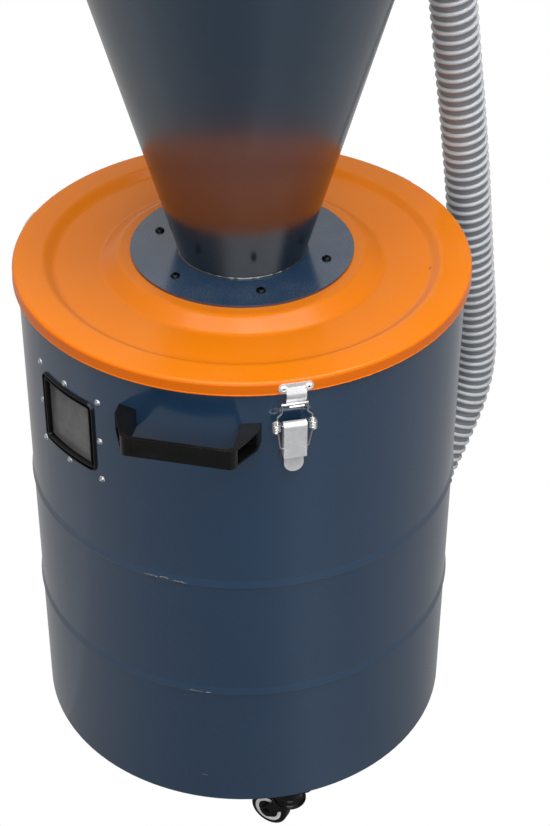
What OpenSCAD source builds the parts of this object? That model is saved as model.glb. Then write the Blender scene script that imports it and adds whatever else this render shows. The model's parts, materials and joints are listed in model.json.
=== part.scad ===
// Collection drum and cone of a cyclone dust collector.
// Millimetres, +Z up, origin on the floor under the drum's axis, front latch on -Y.

/* [Drum] */
// Outside diameter of the drum
drum_d = 500; // [460:5:560]
// Height of the drum
drum_h = 608; // [560:2:700]
// Thickness of the drum's sheet
drum_wall = 1.5; // [1:0.1:2.5]
// Radius between the drum's wall and its rim
drum_edge_r = 4; // [3:0.5:6]
// Width of the rim that carries the lid's gasket
rim_w = 16; // [12:1:24]
// Thickness of the drum's floor
floor_t = 2; // [1.5:0.5:4]
// Height of the lower bead above the drum's lower edge
bead_low_z = 175; // [120:5:220]
// Height of the upper bead above the drum's lower edge
bead_high_z = 337; // [280:5:400]
// How far a bead stands out of the wall
bead_out = 1.8; // [1:0.2:3]
// Length of a bead's upper ramp
bead_ramp = 10; // [8:1:16]

/* [Lid] */
// Thickness of the lid's sheet
lid_t = 1.5; // [1:0.1:2.5]
// Gap between the lid's skirt and the drum
lid_gap = 4; // [2:0.5:5]
// Depth of the lid's skirt
skirt_h = 16; // [14:1:24]
// Radius of the lid's outer edge
lid_edge_r = 4; // [3:0.5:6]
// Diameter of the rolled hem under the skirt
hem_d = 2.4; // [2:0.1:3]
// Height of the gasket under the lid
gasket_h = 5.5; // [3:0.5:8]
// Width of the gasket
gasket_w = 10; // [6:1:11]
// Distance from the drum's wall in to the step down to the sunken ring
step_in = 29; // [24:1:38]
// Width of that step
step_w = 11; // [9:1:16]
// Depth of the sunken ring below the lid's rim
step_drop = 7.5; // [5:0.5:10]
// Diameter of the raised middle at its foot
boss_d = 316; // [306:2:340]
// Width of the slope round the raised middle
boss_slope_w = 20; // [16:0.5:24]
// Height of the raised middle above the lid's rim
boss_h = 5.5; // [3:0.5:8]
// Radius of the pressed bends between the lid's levels
press_r = 12; // [8:1:15]

/* [Cone] */
// Bore of the neck between cone and drum
neck_d = 140; // [120:2:160]
// Thickness of the cone's sheet
cone_wall = 1.5; // [1:0.1:2.5]
// Outside diameter of the flange on the lid
neck_flange_d = 249; // [236:1:260]
// Thickness of that flange
neck_flange_t = 3; // [2:0.5:5]
// Circle of the bolts through that flange
neck_bolt_circle = 195; // [184:1:210]
// Number of bolts through that flange
neck_bolts = 6; // [4:1:8]
// Thread diameter of those bolts
bolt_d = 6; // [5:1:8]
// Height of the cone
cone_h = 453; // [380:1:520]
// Outside diameter of the cone at its mouth
mouth_d = 400; // [360:2:430]
// Width of the flange round the mouth
mouth_flange_w = 15; // [14:0.5:20]
// Thickness of the flange round the mouth
mouth_flange_t = 5; // [3:0.5:8]
// Number of holes in the flange round the mouth
mouth_holes = 12; // [8:1:16]
// Diameter of those holes
mouth_hole_d = 9; // [7:0.5:10]
// Distance from those holes' middles to the flange's edge
mouth_hole_edge = 8; // [7:0.5:9]

/* [Window] */
// Direction of the window, in degrees from +X
window_az = -151; // [-160:1:-145]
// Height of the window's middle above the drum's lower edge
window_z = 500; // [480:2:520]
// Side of the clear opening
window_side = 78.5; // [60:0.5:84]
// Corner radius of the clear opening
window_corner_r = 3; // [2:0.5:6]
// Width of the rubber trim's face
trim_w = 4; // [4:0.5:6]
// How far the trim stands out of the wall
trim_out = 1.8; // [1:0.2:3]
// Thickness of the rubber between the wall and the pane
seal_t = 2.5; // [2:0.5:4]
// Thickness of the pane
pane_t = 2.5; // [2:0.5:4]
// Distance between the pane's screws
screw_pitch = 51; // [48:0.5:56]
// Width of the pane outside its screws
pane_edge = 9; // [7:0.5:12]
// Thread diameter of the pane's screws
screw_d = 3.5; // [3:0.5:4]

/* [Handles] */
// Direction of the front handle, in degrees from +X
handle_az = -115; // [-120:1:-114]
// Height of the handles' middle above the drum's lower edge
handle_z = 550; // [520:1:560]
// Length of a handle over its feet
handle_l = 152; // [140:1:170]
// Length of the grip's face between the slanted sides
grip_l = 117; // [110:1:124]
// Length of the gap for the fingers
grip_gap = 113; // [100:1:115]
// Thickness of the grip
grip_t = 4; // [3.5:0.5:6]
// Depth of the hollow along the grip's face
grip_hollow = 1; // [0.5:0.1:1.5]
// Height of a handle's section
handle_h = 23; // [22:1:30]
// How far the grip stands out of the drum
handle_out = 44; // [40:1:56]
// Wall of the handle's moulding
handle_wall = 2; // [2:0.5:3]
// Height of a foot's straight side above the drum's outermost line
handle_shoulder = 5; // [4:1:8]
// Distance from a handle's end to its screw
handle_screw_in = 7.5; // [7:0.5:9]

/* [Latches] */
// Depth of the lever's pivot below the lid's rim
pivot_drop = 52; // [50:1:58]
// Distance of the lever's pivot from the drum
pivot_out = 10.5; // [8.5:0.5:12]
// Distance from the lever's pivot to the bail's
throw_l = 28.5; // [26:0.5:30]
// Length of the bail from its pivot to its bar
bail_l = 55; // [54:0.5:58]
// Length of the lever below its pivot, down to the finger tab
lever_l = 38; // [36:1:46]
// Width of the lever
lever_w = 24.6; // [21:0.2:25]
// Thickness of the lever's sheet
lever_t = 1.2; // [1:0.1:1.5]
// Width of the finger tab
tab_w = 20.8; // [16:0.2:21]
// Length of the finger tab below the lever's channel
tab_l = 22; // [16:1:28]
// Diameter of the pivot pin
pivot_d = 3; // [2.5:0.5:3.5]
// Diameter of the bail's wire
wire_d = 1.8; // [1.5:0.1:2.2]
// Diameter of the bail's bar
bar_d = 3; // [2.5:0.1:3.5]
// Length of the bail's bar
bar_l = 30; // [26:0.5:32]
// Outside diameter of a bail's coil spring
coil_d = 9; // [7:0.2:10]
// Height of a bail's coil spring
coil_h = 9.5; // [8:0.5:14]
// Distance between the coil springs' middles
coil_pitch = 38; // [36:0.2:42]
// Thickness of the keeper's sheet
keeper_t = 1.5; // [1:0.1:1.8]
// Depth of the keeper's rivets below the lid's rim
keeper_drop = 8; // [7.5:0.1:8.5]
// How far a keeper sits to the side of its latch
keeper_shift = 2; // [-2:0.5:2]
// Distance between the keeper's rivets
rivet_pitch = 26; // [24:0.5:32]
// Height of the keeper's ears
ear_h = 11; // [9:0.5:12]
// Width of the keeper's tongue
tongue_w = 21; // [18:0.5:24]
// Width of the keeper's lip under the bar
lip_w = 15.6; // [12:0.2:18]

/* [Casters] */
// Number of casters
casters = 3; // [3:1:4]
// Direction of the first caster, in degrees from +X
caster_az = -88; // [-100:1:-80]
// Distance from the drum's wall in to a caster's swivel
caster_in = 23; // [23:1:50]
// Height of a caster from the floor to its plate's top
caster_h = 80; // [74:1:86]
// Direction in which the wheels trail, in degrees from +X
trail_az = 138; // [110:1:150]
// Distance of the axle behind the swivel
trail = 25; // [22:1:28]
// Diameter of the wheels
wheel_d = 48; // [46:1:50]
// Width of the wheels
wheel_w = 20; // [16:1:22]
// Clearance between a wheel's tread and the fork's crown
tread_gap = 3; // [2.5:0.5:4]
// Diameter of the axle
axle_d = 6; // [5:0.5:8]
// Side of a caster's plate
plate_side = 44; // [42:1:44]
// Thickness of a caster's plate
plate_t = 2.5; // [2:0.5:4]
// Diameter of the swivel's bearing housing
race_d = 41; // [36:1:42]

/* [Hose] */
// Direction of the hose, in degrees from +X
hose_az = 21; // [18:1:21]
// Outside diameter of the hose
hose_d = 55; // [52:1:56]
// Wall of the hose
hose_wall = 2.5; // [2:0.5:3]
// Outside diameter of the drum's port
port_d = 50; // [46:1:50]
// Wall of the port
port_wall = 1.5; // [1:0.1:2.5]
// Length of a hose cuff
cuff_l = 35; // [34:1:44]
// Wall of a hose cuff
cuff_wall = 4; // [3:0.5:5]
// Width of the worm-drive clamp
clamp_w = 9; // [8:0.5:12]

/* [Hidden] */

$fn = 96;
eps = 0.01;
tight = 0.05;
running = 0.3;

slate = [0.20, 0.25, 0.31];
orange = [0.93, 0.50, 0.09];
black = [0.08, 0.08, 0.09];
steel = [0.72, 0.73, 0.75];
grey = [0.62, 0.64, 0.67];

drum_r = drum_d / 2;
base_z = caster_h;
rim_z = base_z + drum_h;
lid_z = rim_z + gasket_h + lid_t;
skirt_r = drum_r + lid_gap + lid_t;
step_r = drum_r - step_in;
boss_r = boss_d / 2;
neck_r = neck_d / 2;
flange_z = lid_z + boss_h;
cone_z = flange_z + neck_flange_t;
mouth_z = cone_z + cone_h;
mouth_r = mouth_d / 2;
mouth_flange_r = mouth_r + mouth_flange_w;
mouth_bolt_r = mouth_flange_r - mouth_hole_edge;
caster_r = drum_r - caster_in;

// A point at distance d in direction a.
function polar(d, a) = [d * cos(a), d * sin(a)];
function reversed(p) = [for (i = [len(p) - 1 : -1 : 0]) p[i]];
// Points of an arc about c, from angle a to angle b.
function arc(c, r, a, b, n = 6) = [for (i = [0 : n]) c + polar(r, a + (b - a) * i / n)];

// Points of a round corner of radius r at b, between lines from a and to c.
function rounded(a, b, c, r) = let (
    u = (a - b) / norm(a - b), v = (c - b) / norm(c - b), half = acos(u * v) / 2,
    m = b + (u + v) / norm(u + v) * r / sin(half),
    p = b + u * r / tan(half) - m, q = b + v * r / tan(half) - m,
    from = atan2(p[1], p[0]), turn = (atan2(q[1], q[0]) - from + 540) % 360 - 180
) arc(m, r, from, from + turn);

// Moves children to direction az, distance r from the axis and height z, with x pointing outwards.
module at(az, r = 0, z = 0) rotate([0, 0, az]) translate([r, 0, z]) children();

// A ring about the Z axis.
module ring(inner, outer, h) rotate_extrude(convexity = 4) translate([inner, 0]) square([outer - inner, h]);

module rounded_rect(w, h, r) {
    square([w - 2 * r, h], center = true);
    square([w, h - 2 * r], center = true);
    for (x = [-1, 1], y = [-1, 1]) translate([x * (w / 2 - r), y * (h / 2 - r)]) circle(r, $fn = 32);
}

// A prism whose outline in x and z is drawn by the children, centred on y and w wide.
module across(w) rotate([90, 0, 0]) linear_extrude(w, center = true) children();

// A prism along x, whose outline in y and z is a rounded square.
module square_bar(from, to, side, r) {
    translate([from, 0, 0]) rotate([0, 90, 0]) linear_extrude(to - from) rounded_rect(side, side, r);
}

// A wire of diameter d through the points p, with a bead at each bend.
module wire(p, d) {
    for (i = [0 : len(p) - 2]) let (v = p[i + 1] - p[i])
        translate(p[i]) rotate([0, acos(v[2] / norm(v)), atan2(v[1], v[0])]) cylinder(d = d, h = norm(v), $fn = 24);
    for (i = [1 : len(p) - 2]) translate(p[i]) sphere(d = d * 1.1, $fn = 24);
}

/* Drum */

// Outer line of the drum's wall round one bead, from the ramp's top down.
function bead_outside(z) = [
    [drum_r, z + bead_ramp],
    [drum_r + bead_out * 0.9, z + bead_out],
    [drum_r + bead_out, z + bead_out * 0.5],
    [drum_r + bead_out * 0.8, z],
    [drum_r, z - bead_out * 0.4]
];
// Inner line of the wall behind that bead.
function bead_inside(z) = [
    [drum_r - drum_wall, z + bead_ramp],
    [drum_r - drum_wall + bead_out * 0.6, z + bead_out],
    [drum_r - drum_wall, z]
];

function drum_line() = concat(
    [[drum_r - rim_w, drum_h]],
    arc([drum_r - drum_edge_r, drum_h - drum_edge_r], drum_edge_r, 90, 0),
    bead_outside(bead_high_z),
    bead_outside(bead_low_z),
    [[drum_r, 0], [drum_r - drum_wall, 0]],
    reversed(bead_inside(bead_low_z)),
    reversed(bead_inside(bead_high_z)),
    arc([drum_r - drum_edge_r, drum_h - drum_edge_r], drum_edge_r - drum_wall, 0, 90),
    [[drum_r - rim_w, drum_h - drum_wall]]
);

module drum_shell() {
    color(slate) difference() {
        translate([0, 0, base_z]) rotate_extrude(convexity = 6) polygon(drum_line());
        window_cut(window_side + trim_w);
        window_each_screw() cylinder(d = screw_d + 2 * tight, h = 4 * drum_wall, center = true, $fn = 24);
        port_axis() translate([0, 0, -port_reach - 5]) cylinder(d = port_d + 2 * tight, h = port_reach);
    }
}

module drum_floor() {
    color(slate) translate([0, 0, base_z]) cylinder(r = drum_r - drum_wall, h = floor_t);
}

/* Window */

window_deg = screw_pitch / drum_r * 180 / PI;
pane_side = 2 * (screw_pitch + pane_edge);
pane_r = drum_r - drum_wall - seal_t;

// The pieces of the window are cut out of rings by a square bar that points outwards.
module window_bar(side, r) at(window_az, 0, base_z + window_z) square_bar(drum_r / 2, drum_r * 1.2, side, r);

module window_cut(side) window_bar(side, window_corner_r + (side - window_side) / 2);

module window_ring(inner, outer) {
    translate([0, 0, base_z + window_z - pane_side]) ring(inner, outer, 2 * pane_side);
}

// Children once at each screw, with z pointing outwards and the origin on the drum's wall.
module window_each_screw() {
    for (i = [-1 : 1], j = [-1 : 1]) if (i != 0 || j != 0)
        at(window_az + i * window_deg, drum_r, base_z + window_z + j * screw_pitch) rotate([0, 90, 0]) children();
}

module window_pane() {
    color([0.5, 0.52, 0.52, 0.6]) difference() {
        intersection() {
            window_ring(pane_r - pane_t, pane_r);
            window_bar(pane_side, window_corner_r);
        }
        window_each_screw() cylinder(d = screw_d + 2 * tight, h = 6 * pane_t, center = true, $fn = 24);
    }
}

module window_trim() {
    color(black) difference() {
        union() {
            intersection() {
                window_ring(drum_r, drum_r + trim_out);
                window_bar(window_side + 2 * trim_w, window_corner_r + trim_w);
            }
            intersection() {
                window_ring(drum_r - drum_wall, drum_r + trim_out);
                window_bar(window_side + trim_w, window_corner_r + trim_w / 2);
            }
            intersection() {
                window_ring(pane_r, drum_r - drum_wall);
                window_bar(pane_side, window_corner_r);
            }
        }
        window_bar(window_side, window_corner_r);
        window_each_screw() cylinder(d = screw_d + 2 * tight, h = 4 * seal_t + 4 * drum_wall, center = true, $fn = 24);
    }
}

module window_screws() {
    head_d = screw_d * 1.9;
    nut_d = screw_d * 1.8;
    grip = drum_r - pane_r + pane_t;
    color(steel) window_each_screw() {
        rotate_extrude($fn = 32) polygon([[0, 0], [head_d / 2, 0], [head_d / 2, 1], [head_d * 0.36, 2], [0, 2.3]]);
        translate([0, 0, -grip - 4]) cylinder(d = screw_d, h = grip + 4, $fn = 24);
        translate([0, 0, -grip - 2.6]) cylinder(d = nut_d, h = 2.5, $fn = 6);
    }
}

/* Handles */

handle_low = drum_r * cos(asin(handle_l / 2 / drum_r)) - 3;

// Half of the handle's outline as seen from above, from its foot to the middle of the grip's face.
function handle_side(s) = let (
    foot = [drum_r + handle_shoulder, handle_l / 2], corner = [drum_r + handle_out, grip_l / 2]
) [for (p = concat(
    [[handle_low, foot[1]], foot],
    rounded(foot, corner, [corner[0], 0], 2 * grip_t)
)) [p[0], s * p[1]]];
// The same half's inner line, from its foot to the middle of the grip's back.
function handle_inside(s) = let (back = drum_r + handle_out - grip_t, gap = grip_gap / 2) [
    for (p = concat([[handle_low, gap]], arc([back - 2 * grip_t, gap - 2 * grip_t], 2 * grip_t, 90, 0))) [p[0], s * p[1]]
];

module handle_pocket(s) {
    inner = s * (grip_gap / 2 + handle_wall);
    foot = s * (handle_l / 2 - handle_wall);
    front = drum_r + handle_out - 2 * grip_t;
    linear_extrude(handle_h - 2 * handle_wall, center = true) {
        polygon([
            [drum_r + 1, inner], [front, inner], [front + handle_wall, s * handle_l], [drum_r + handle_shoulder, s * handle_l],
            [drum_r + handle_shoulder, foot], [drum_r + 1, foot]
        ]);
        polygon([[handle_low - 1, inner], [drum_r - 1, inner], [drum_r - 1, foot], [handle_low - 1, foot]]);
    }
}

module bow_handle(az) {
    top = drum_r + handle_out;
    screw_y = handle_l / 2 - handle_screw_in;
    face_h = handle_h - 2 * handle_wall;
    hollow_r = (face_h * face_h / 4 + grip_hollow * grip_hollow) / 2 / grip_hollow;
    color(black) at(az, 0, base_z + handle_z) difference() {
        union() {
            difference() {
                linear_extrude(handle_h, center = true) polygon(concat(
                    handle_side(-1), reversed(handle_side(1)), handle_inside(1), reversed(handle_inside(-1))
                ));
                for (s = [-1, 1]) handle_pocket(s);
                translate([top - grip_hollow + hollow_r, 0, 0]) across(grip_gap - 4 * grip_t)
                    circle(r = hollow_r, $fn = 240);
            }
            for (s = [-1, 1]) translate([handle_low, s * screw_y, 0]) rotate([0, 90, 0])
                cylinder(d = 9, h = drum_r + handle_shoulder - handle_low, $fn = 32);
        }
        for (s = [-1, 1]) translate([drum_r, s * screw_y, 0]) rotate([0, 90, 0]) cylinder(d = 5.4, h = 20, $fn = 32);
        translate([0, 0, -handle_h]) cylinder(r = drum_r, h = 2 * handle_h);
    }
}

module front_handle() bow_handle(handle_az);
module rear_handle() bow_handle(handle_az + 180);

/* Lid */

// Top line of the lid, from the neck outwards and down the skirt.
hem_z = -skirt_h + hem_d / 2;
lid_levels = [
    [neck_r, boss_h], [boss_r - boss_slope_w, boss_h], [boss_r, -step_drop],
    [step_r - step_w, -step_drop], [step_r, 0], [skirt_r - lid_edge_r, 0]
];
function lid_top() = concat(
    [lid_levels[0]],
    [for (i = [1 : 4]) each rounded(lid_levels[i - 1], lid_levels[i], lid_levels[i + 1], press_r)],
    arc([skirt_r - lid_edge_r, -lid_edge_r], lid_edge_r, 90, 0),
    [[skirt_r, hem_z]]
);

function right(v) = [v[1], -v[0]] / norm(v);
// The corner at b of a line through a, b and c, moved by t to the line's right.
function moved_corner(a, b, c, t) = let (m = right(b - a), n = right(c - b)) b + t * (m + n) / (1 + m * n);
function moved_line(p, t) = [
    for (i = [0 : len(p) - 1])
        let (a = i == 0 ? 2 * p[0] - p[1] : p[i - 1], c = i == len(p) - 1 ? 2 * p[i] - p[i - 1] : p[i + 1])
            moved_corner(a, p[i], c, t)
];

module lid() {
    color(orange) difference() {
        translate([0, 0, lid_z]) {
            rotate_extrude(convexity = 8) polygon(concat(lid_top(), reversed(moved_line(lid_top(), lid_t))));
            rotate_extrude() translate([skirt_r - lid_t / 2, hem_z]) circle(d = hem_d, $fn = 24);
        }
        neck_each_bolt() cylinder(d = bolt_d + 1, h = 6 * lid_t, center = true, $fn = 32);
    }
}

module lid_gasket() {
    color(black) translate([0, 0, rim_z]) ring(drum_r - drum_edge_r - gasket_w, drum_r - drum_edge_r, gasket_h);
}

/* Cone */

module neck_each_bolt() {
    for (i = [0 : neck_bolts - 1]) at(-90 + i * 360 / neck_bolts, neck_bolt_circle / 2, flange_z) children();
}

module neck_flange() {
    color(slate) difference() {
        translate([0, 0, flange_z]) ring(neck_r, neck_flange_d / 2, neck_flange_t);
        neck_each_bolt() cylinder(d = bolt_d + 1, h = 6 * neck_flange_t, center = true, $fn = 32);
    }
}

module neck_bolts() {
    head_d = bolt_d * 1.75;
    head_h = bolt_d * 0.55;
    socket_d = bolt_d * 0.72;
    nut_d = bolt_d * 1.8;
    nut_h = bolt_d * 0.8;
    color(black) neck_each_bolt() {
        translate([0, 0, neck_flange_t]) difference() {
            rotate_extrude($fn = 48) polygon(concat(
                [[0, 0], [head_d / 2, 0]],
                [for (i = [0 : 6]) [head_d / 2 * cos(i * 10), 0.6 + (head_h - 0.6) * sin(i * 10) / sin(60)]],
                [[0, head_h]]
            ));
            translate([0, 0, head_h - bolt_d * 0.35]) cylinder(d = socket_d, h = bolt_d, $fn = 6);
        }
        translate([0, 0, -lid_t - nut_h - 3]) cylinder(d = bolt_d, h = lid_t + nut_h + 3 + neck_flange_t + 0.5, $fn = 32);
        translate([0, 0, -lid_t - nut_h]) cylinder(d = nut_d, h = nut_h, $fn = 6);
    }
}

module cone_shell() {
    color(slate) translate([0, 0, cone_z]) rotate_extrude(convexity = 4) polygon([
        [neck_r, 0], [neck_r + cone_wall, 0], [mouth_r, cone_h], [mouth_r - cone_wall, cone_h]
    ]);
}

module mouth_flange() {
    color(slate) difference() {
        translate([0, 0, mouth_z]) ring(mouth_r - cone_wall, mouth_flange_r, mouth_flange_t);
        for (i = [0 : mouth_holes - 1]) at(i * 360 / mouth_holes, mouth_bolt_r, mouth_z)
            cylinder(d = mouth_hole_d, h = 4 * mouth_flange_t, center = true, $fn = 32);
    }
}

/* Latches */

latch_step = 120;
function latch_az(n) = -90 + (n - 1) * latch_step;

lip_gap = 0.3;
seat = 0.1;
pivot_x = drum_r + pivot_out;
pivot_z = lid_z - pivot_drop;
toggle_z = pivot_z - throw_l;
bar_x = skirt_r + 2 * keeper_t + lip_gap + bar_d / 2;
bar_z = toggle_z + sqrt(bail_l * bail_l - (pivot_x - bar_x) * (pivot_x - bar_x));
keeper_z = lid_z - keeper_drop;
hem_top = lid_z + hem_z + hem_d / 2;
lever_r = pivot_d / 2 + 3.7;
side_y = lever_w / 2 - lever_t;
ear_y = side_y - 0.3;
base_low = throw_l + 19;
plate_reach = pivot_drop + base_low;
base_t = 1.5;
base_drop = lever_r + 0.8;

// A band of sheet bent round the drum's axis, cut to the outline that the children draw in y and z.
module bent_plate(inner, t, z) {
    intersection() {
        translate([0, 0, z - plate_reach]) ring(inner, inner + t, 2 * plate_reach, $fn = 384);
        translate([inner - 5, 0, z]) rotate([90, 0, 90]) linear_extrude(t + 10) children();
    }
}

module latch_base(n) {
    stem_x = drum_r + base_t - pivot_x;
    color(steel) at(latch_az(n)) {
        bent_plate(drum_r, base_t, pivot_z) translate([-ear_y - 2.5, -base_low]) square([2 * ear_y + 5, base_low - base_drop]);
        for (s = [-1, 1]) translate([pivot_x, s * (ear_y - base_t / 2), pivot_z]) across(base_t) {
            circle(r = lever_r - 1.8, $fn = 48);
            polygon([[0, 0], [stem_x - 0.7, -base_drop - 0.5], [stem_x - 0.7, -base_low / 3], [stem_x + 2, -base_low / 3], [2, -2]]);
        }
        translate([pivot_x, 0, pivot_z]) across(lever_w + 2.4) circle(d = pivot_d, $fn = 48);
    }
}

// Side of the lever's channel about its pivot: round at the top and tapered below the bail's pivot.
module lever_side() {
    circle(r = lever_r, $fn = 64);
    polygon([
        [lever_r, 0], [lever_r, -lever_l], [-lever_r + 2, -lever_l], [-lever_r + 0.4, -lever_l + 4],
        [-lever_r + 0.4, 0]
    ]);
}

module latch_lever(n) {
    tab_x = -3;
    color(steel) at(latch_az(n), pivot_x, pivot_z) {
        difference() {
            for (s = [-1, 1]) translate([0, s * (side_y + lever_t / 2), 0]) across(lever_t) lever_side();
            across(lever_w + 4) circle(d = pivot_d + 2 * tight, $fn = 48);
            translate([0, 0, -throw_l]) across(lever_w + 4) circle(d = wire_d + 2 * tight, $fn = 32);
        }
        // front of the channel, curled over the pivot at its top
        across(lever_w) difference() {
            union() {
                circle(r = lever_r, $fn = 64);
                translate([0, -lever_l]) square([lever_r, lever_l]);
            }
            circle(r = lever_r - lever_t, $fn = 64);
            translate([-2 * lever_r, -lever_l - 1]) square([3 * lever_r - lever_t, lever_l + 1]);
            polygon([[0, 0], polar(20, 112), polar(30, 150), polar(30, 180), [-20, -10], [0, -10]]);
        }
        // floor of the channel's lower end, which runs on into the finger tab
        translate([tab_x, 0, -lever_l]) rotate([0, 90, 0]) linear_extrude(lever_t) {
            translate([-6, -side_y - lever_t / 2]) square([6, 2 * side_y + lever_t]);
            translate([-3, -tab_w / 2]) square([tab_l + 3 - tab_w / 2, tab_w]);
            translate([tab_l - tab_w / 2, 0]) circle(d = tab_w, $fn = 64);
        }
    }
}

module latch_bail(n) {
    spring = [(pivot_x + bar_x) / 2, coil_pitch / 2, pivot_z - 0.5];
    half = [0, 0, coil_h / 2];
    hip = [pivot_x, lever_w / 2 + 1.8, toggle_z];
    wrist = [bar_x, coil_pitch / 2, bar_z - 14];
    elbow = [bar_x, bar_l / 2 - wire_d / 2, bar_z - 9];
    color(steel) at(latch_az(n)) {
        translate([bar_x, 0, bar_z]) across(bar_l) circle(d = bar_d, $fn = 48);
        for (s = [0, 1]) mirror([0, s, 0]) {
            wire([[pivot_x, side_y - 0.3, toggle_z], hip, spring - half + [0, 0, 1]], wire_d);
            translate(spring - half) cylinder(d = coil_d, h = coil_h, $fn = 48);
            wire([spring + half - [0, 0, 1], wrist, elbow, [elbow[0], elbow[1], bar_z]], wire_d);
        }
    }
}

module latch_keeper(n) {
    lip_in = bar_d / 2 + lip_gap;
    ledge = skirt_r + seat + keeper_t;
    front = bar_x - lip_in;
    hook_from = 180;
    hook_to = 300;
    color(steel) at(latch_az(n)) {
        bent_plate(skirt_r + seat, keeper_t, keeper_z) translate([keeper_shift, 0]) {
            square([rivet_pitch, ear_h], center = true);
            for (s = [-1, 1]) translate([s * rivet_pitch / 2, 0]) circle(d = ear_h, $fn = 48);
        }
        rotate([0, 0, keeper_shift / skirt_r * 180 / PI]) {
            for (s = [-1, 1]) rotate([0, 0, s * rivet_pitch / 2 / skirt_r * 180 / PI])
                translate([ledge - 0.7, 0, keeper_z]) rotate([0, 90, 0]) difference() {
                    cylinder(d1 = 7, d2 = 5, h = 2, $fn = 32);
                    translate([0, 0, 0.8]) cylinder(d = 2.4, h = 2, $fn = 24);
                }
            // tongue from the plate out over the lid's hem, down behind the bar and hooked under it
            difference() {
                across(tongue_w) polygon(concat(
                    [[ledge - 0.4, keeper_z + 1], [ledge + 0.2, keeper_z + 1], [front, hem_top]],
                    [for (p = arc([0, 0], lip_in, hook_from, hook_to)) [bar_x, bar_z] + p],
                    [for (p = arc([0, 0], lip_in + keeper_t, hook_to, hook_from)) [bar_x, bar_z] + p],
                    [[front - keeper_t, hem_top - 1.5], [ledge - 0.4, keeper_z - 3]]
                ));
                for (s = [-1, 1]) translate([bar_x, s * (lip_w + tongue_w) / 2, bar_z - tongue_w / 2 + 1])
                    cube([tongue_w, tongue_w, tongue_w], center = true);
            }
        }
    }
}

module latch_base_1() latch_base(1);
module latch_base_2() latch_base(2);
module latch_base_3() latch_base(3);
module latch_keeper_1() latch_keeper(1);
module latch_keeper_2() latch_keeper(2);
module latch_keeper_3() latch_keeper(3);
module latch_lever_1() latch_lever(1);
module latch_lever_2() latch_lever(2);
module latch_lever_3() latch_lever(3);
module latch_bail_1() latch_bail(1);
module latch_bail_2() latch_bail(2);
module latch_bail_3() latch_bail(3);

/* Casters */

crown_z = wheel_d + tread_gap;
crown_t = 10;
race_z = crown_z + crown_t + running;
race_h = base_z - plate_t - race_z;
kingpin_d = 8;
fork_t = 2;
fork_in = wheel_w / 2 + 1;

// A caster's own frame: origin on the floor under the swivel, with x pointing along the trail.
module caster(n) at(caster_az + (n - 1) * 360 / casters, caster_r)
    rotate([0, 0, trail_az - caster_az - (n - 1) * 360 / casters]) children();

module caster_plate(n) {
    head_z = race_z - 2 * running - fork_t - 3;
    color(steel) {
        at(caster_az + (n - 1) * 360 / casters, caster_r, base_z - plate_t) difference() {
            linear_extrude(plate_t) rounded_rect(plate_side, plate_side, 5);
            for (x = [-1, 1], y = [-1, 1]) translate([x * (plate_side / 2 - 6), y * (plate_side / 2 - 6), 0])
                cylinder(d = 6.5, h = 4 * plate_t, center = true, $fn = 32);
        }
        caster(n) {
            translate([0, 0, race_z]) cylinder(d = race_d * 0.8, h = race_h + plate_t / 2);
            translate([0, 0, head_z]) cylinder(d = kingpin_d, h = race_z - head_z + 1, $fn = 48);
            translate([0, 0, head_z]) cylinder(d = kingpin_d + 6, h = 3, $fn = 48);
        }
    }
}

// The fork: a pressed cup that turns under the race, with a leg down each side of the wheel.
module caster_fork(n) {
    cup_r = race_d / 2;
    cup_top = crown_z + crown_t;
    leg_x = 0.36 * race_d;
    color(black) caster(n) {
        rotate_extrude(convexity = 4) polygon(concat(
            [[kingpin_d / 2 + tight, cup_top - fork_t], [kingpin_d / 2 + tight, cup_top]],
            arc([cup_r * 0.8 - 4, cup_top - 4], 4, 90, 0),
            [[cup_r * 0.8 + 1, crown_z + 3], [cup_r, crown_z + 2], [cup_r, crown_z]],
            [[cup_r * 0.8 - fork_t, crown_z], [cup_r * 0.8 - fork_t, cup_top - 4]],
            arc([cup_r * 0.8 - 4, cup_top - 4], 4 - fork_t, 0, 90)
        ));
        for (s = [-1, 1]) translate([0, s * (fork_in + fork_t / 2), 0]) across(fork_t) {
            polygon([
                [-leg_x, crown_z + 1], [leg_x, crown_z + 1], [leg_x, crown_z - 2],
                [trail + 8, wheel_d / 2], [trail, wheel_d / 2 - 8], [trail - 8, wheel_d / 2]
            ]);
            translate([trail, wheel_d / 2]) circle(r = 8, $fn = 48);
        }
        translate([trail, 0, wheel_d / 2]) across(2 * (fork_in + fork_t) + 5) circle(d = axle_d, $fn = 48);
    }
}

module caster_wheel(n) {
    edge = 3;
    color(black) caster(n) translate([trail, 0, wheel_d / 2]) rotate([90, 0, 0]) rotate_extrude(convexity = 4)
        difference() {
            polygon(concat(
                [[axle_d / 2 + tight, -wheel_w / 2], [wheel_d / 2 - edge - 5, -wheel_w / 2],
                    [wheel_d / 2 - edge - 4, -wheel_w / 2 + 2], [wheel_d / 2 - edge, -wheel_w / 2 + 2]],
                arc([wheel_d / 2 - edge, -wheel_w / 2 + 2 + edge], edge, -90, 0),
                arc([wheel_d / 2 - edge, wheel_w / 2 - 2 - edge], edge, 0, 90),
                [[wheel_d / 2 - edge - 4, wheel_w / 2 - 2], [wheel_d / 2 - edge - 5, wheel_w / 2],
                    [axle_d / 2 + tight, wheel_w / 2]]
            ));
        }
}

module caster_plate_1() caster_plate(1);
module caster_plate_2() caster_plate(2);
module caster_plate_3() caster_plate(3);
module caster_fork_1() caster_fork(1);
module caster_fork_2() caster_fork(2);
module caster_fork_3() caster_fork(3);
module caster_wheel_1() caster_wheel(1);
module caster_wheel_2() caster_wheel(2);
module caster_wheel_3() caster_wheel(3);

/* Hose */

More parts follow.
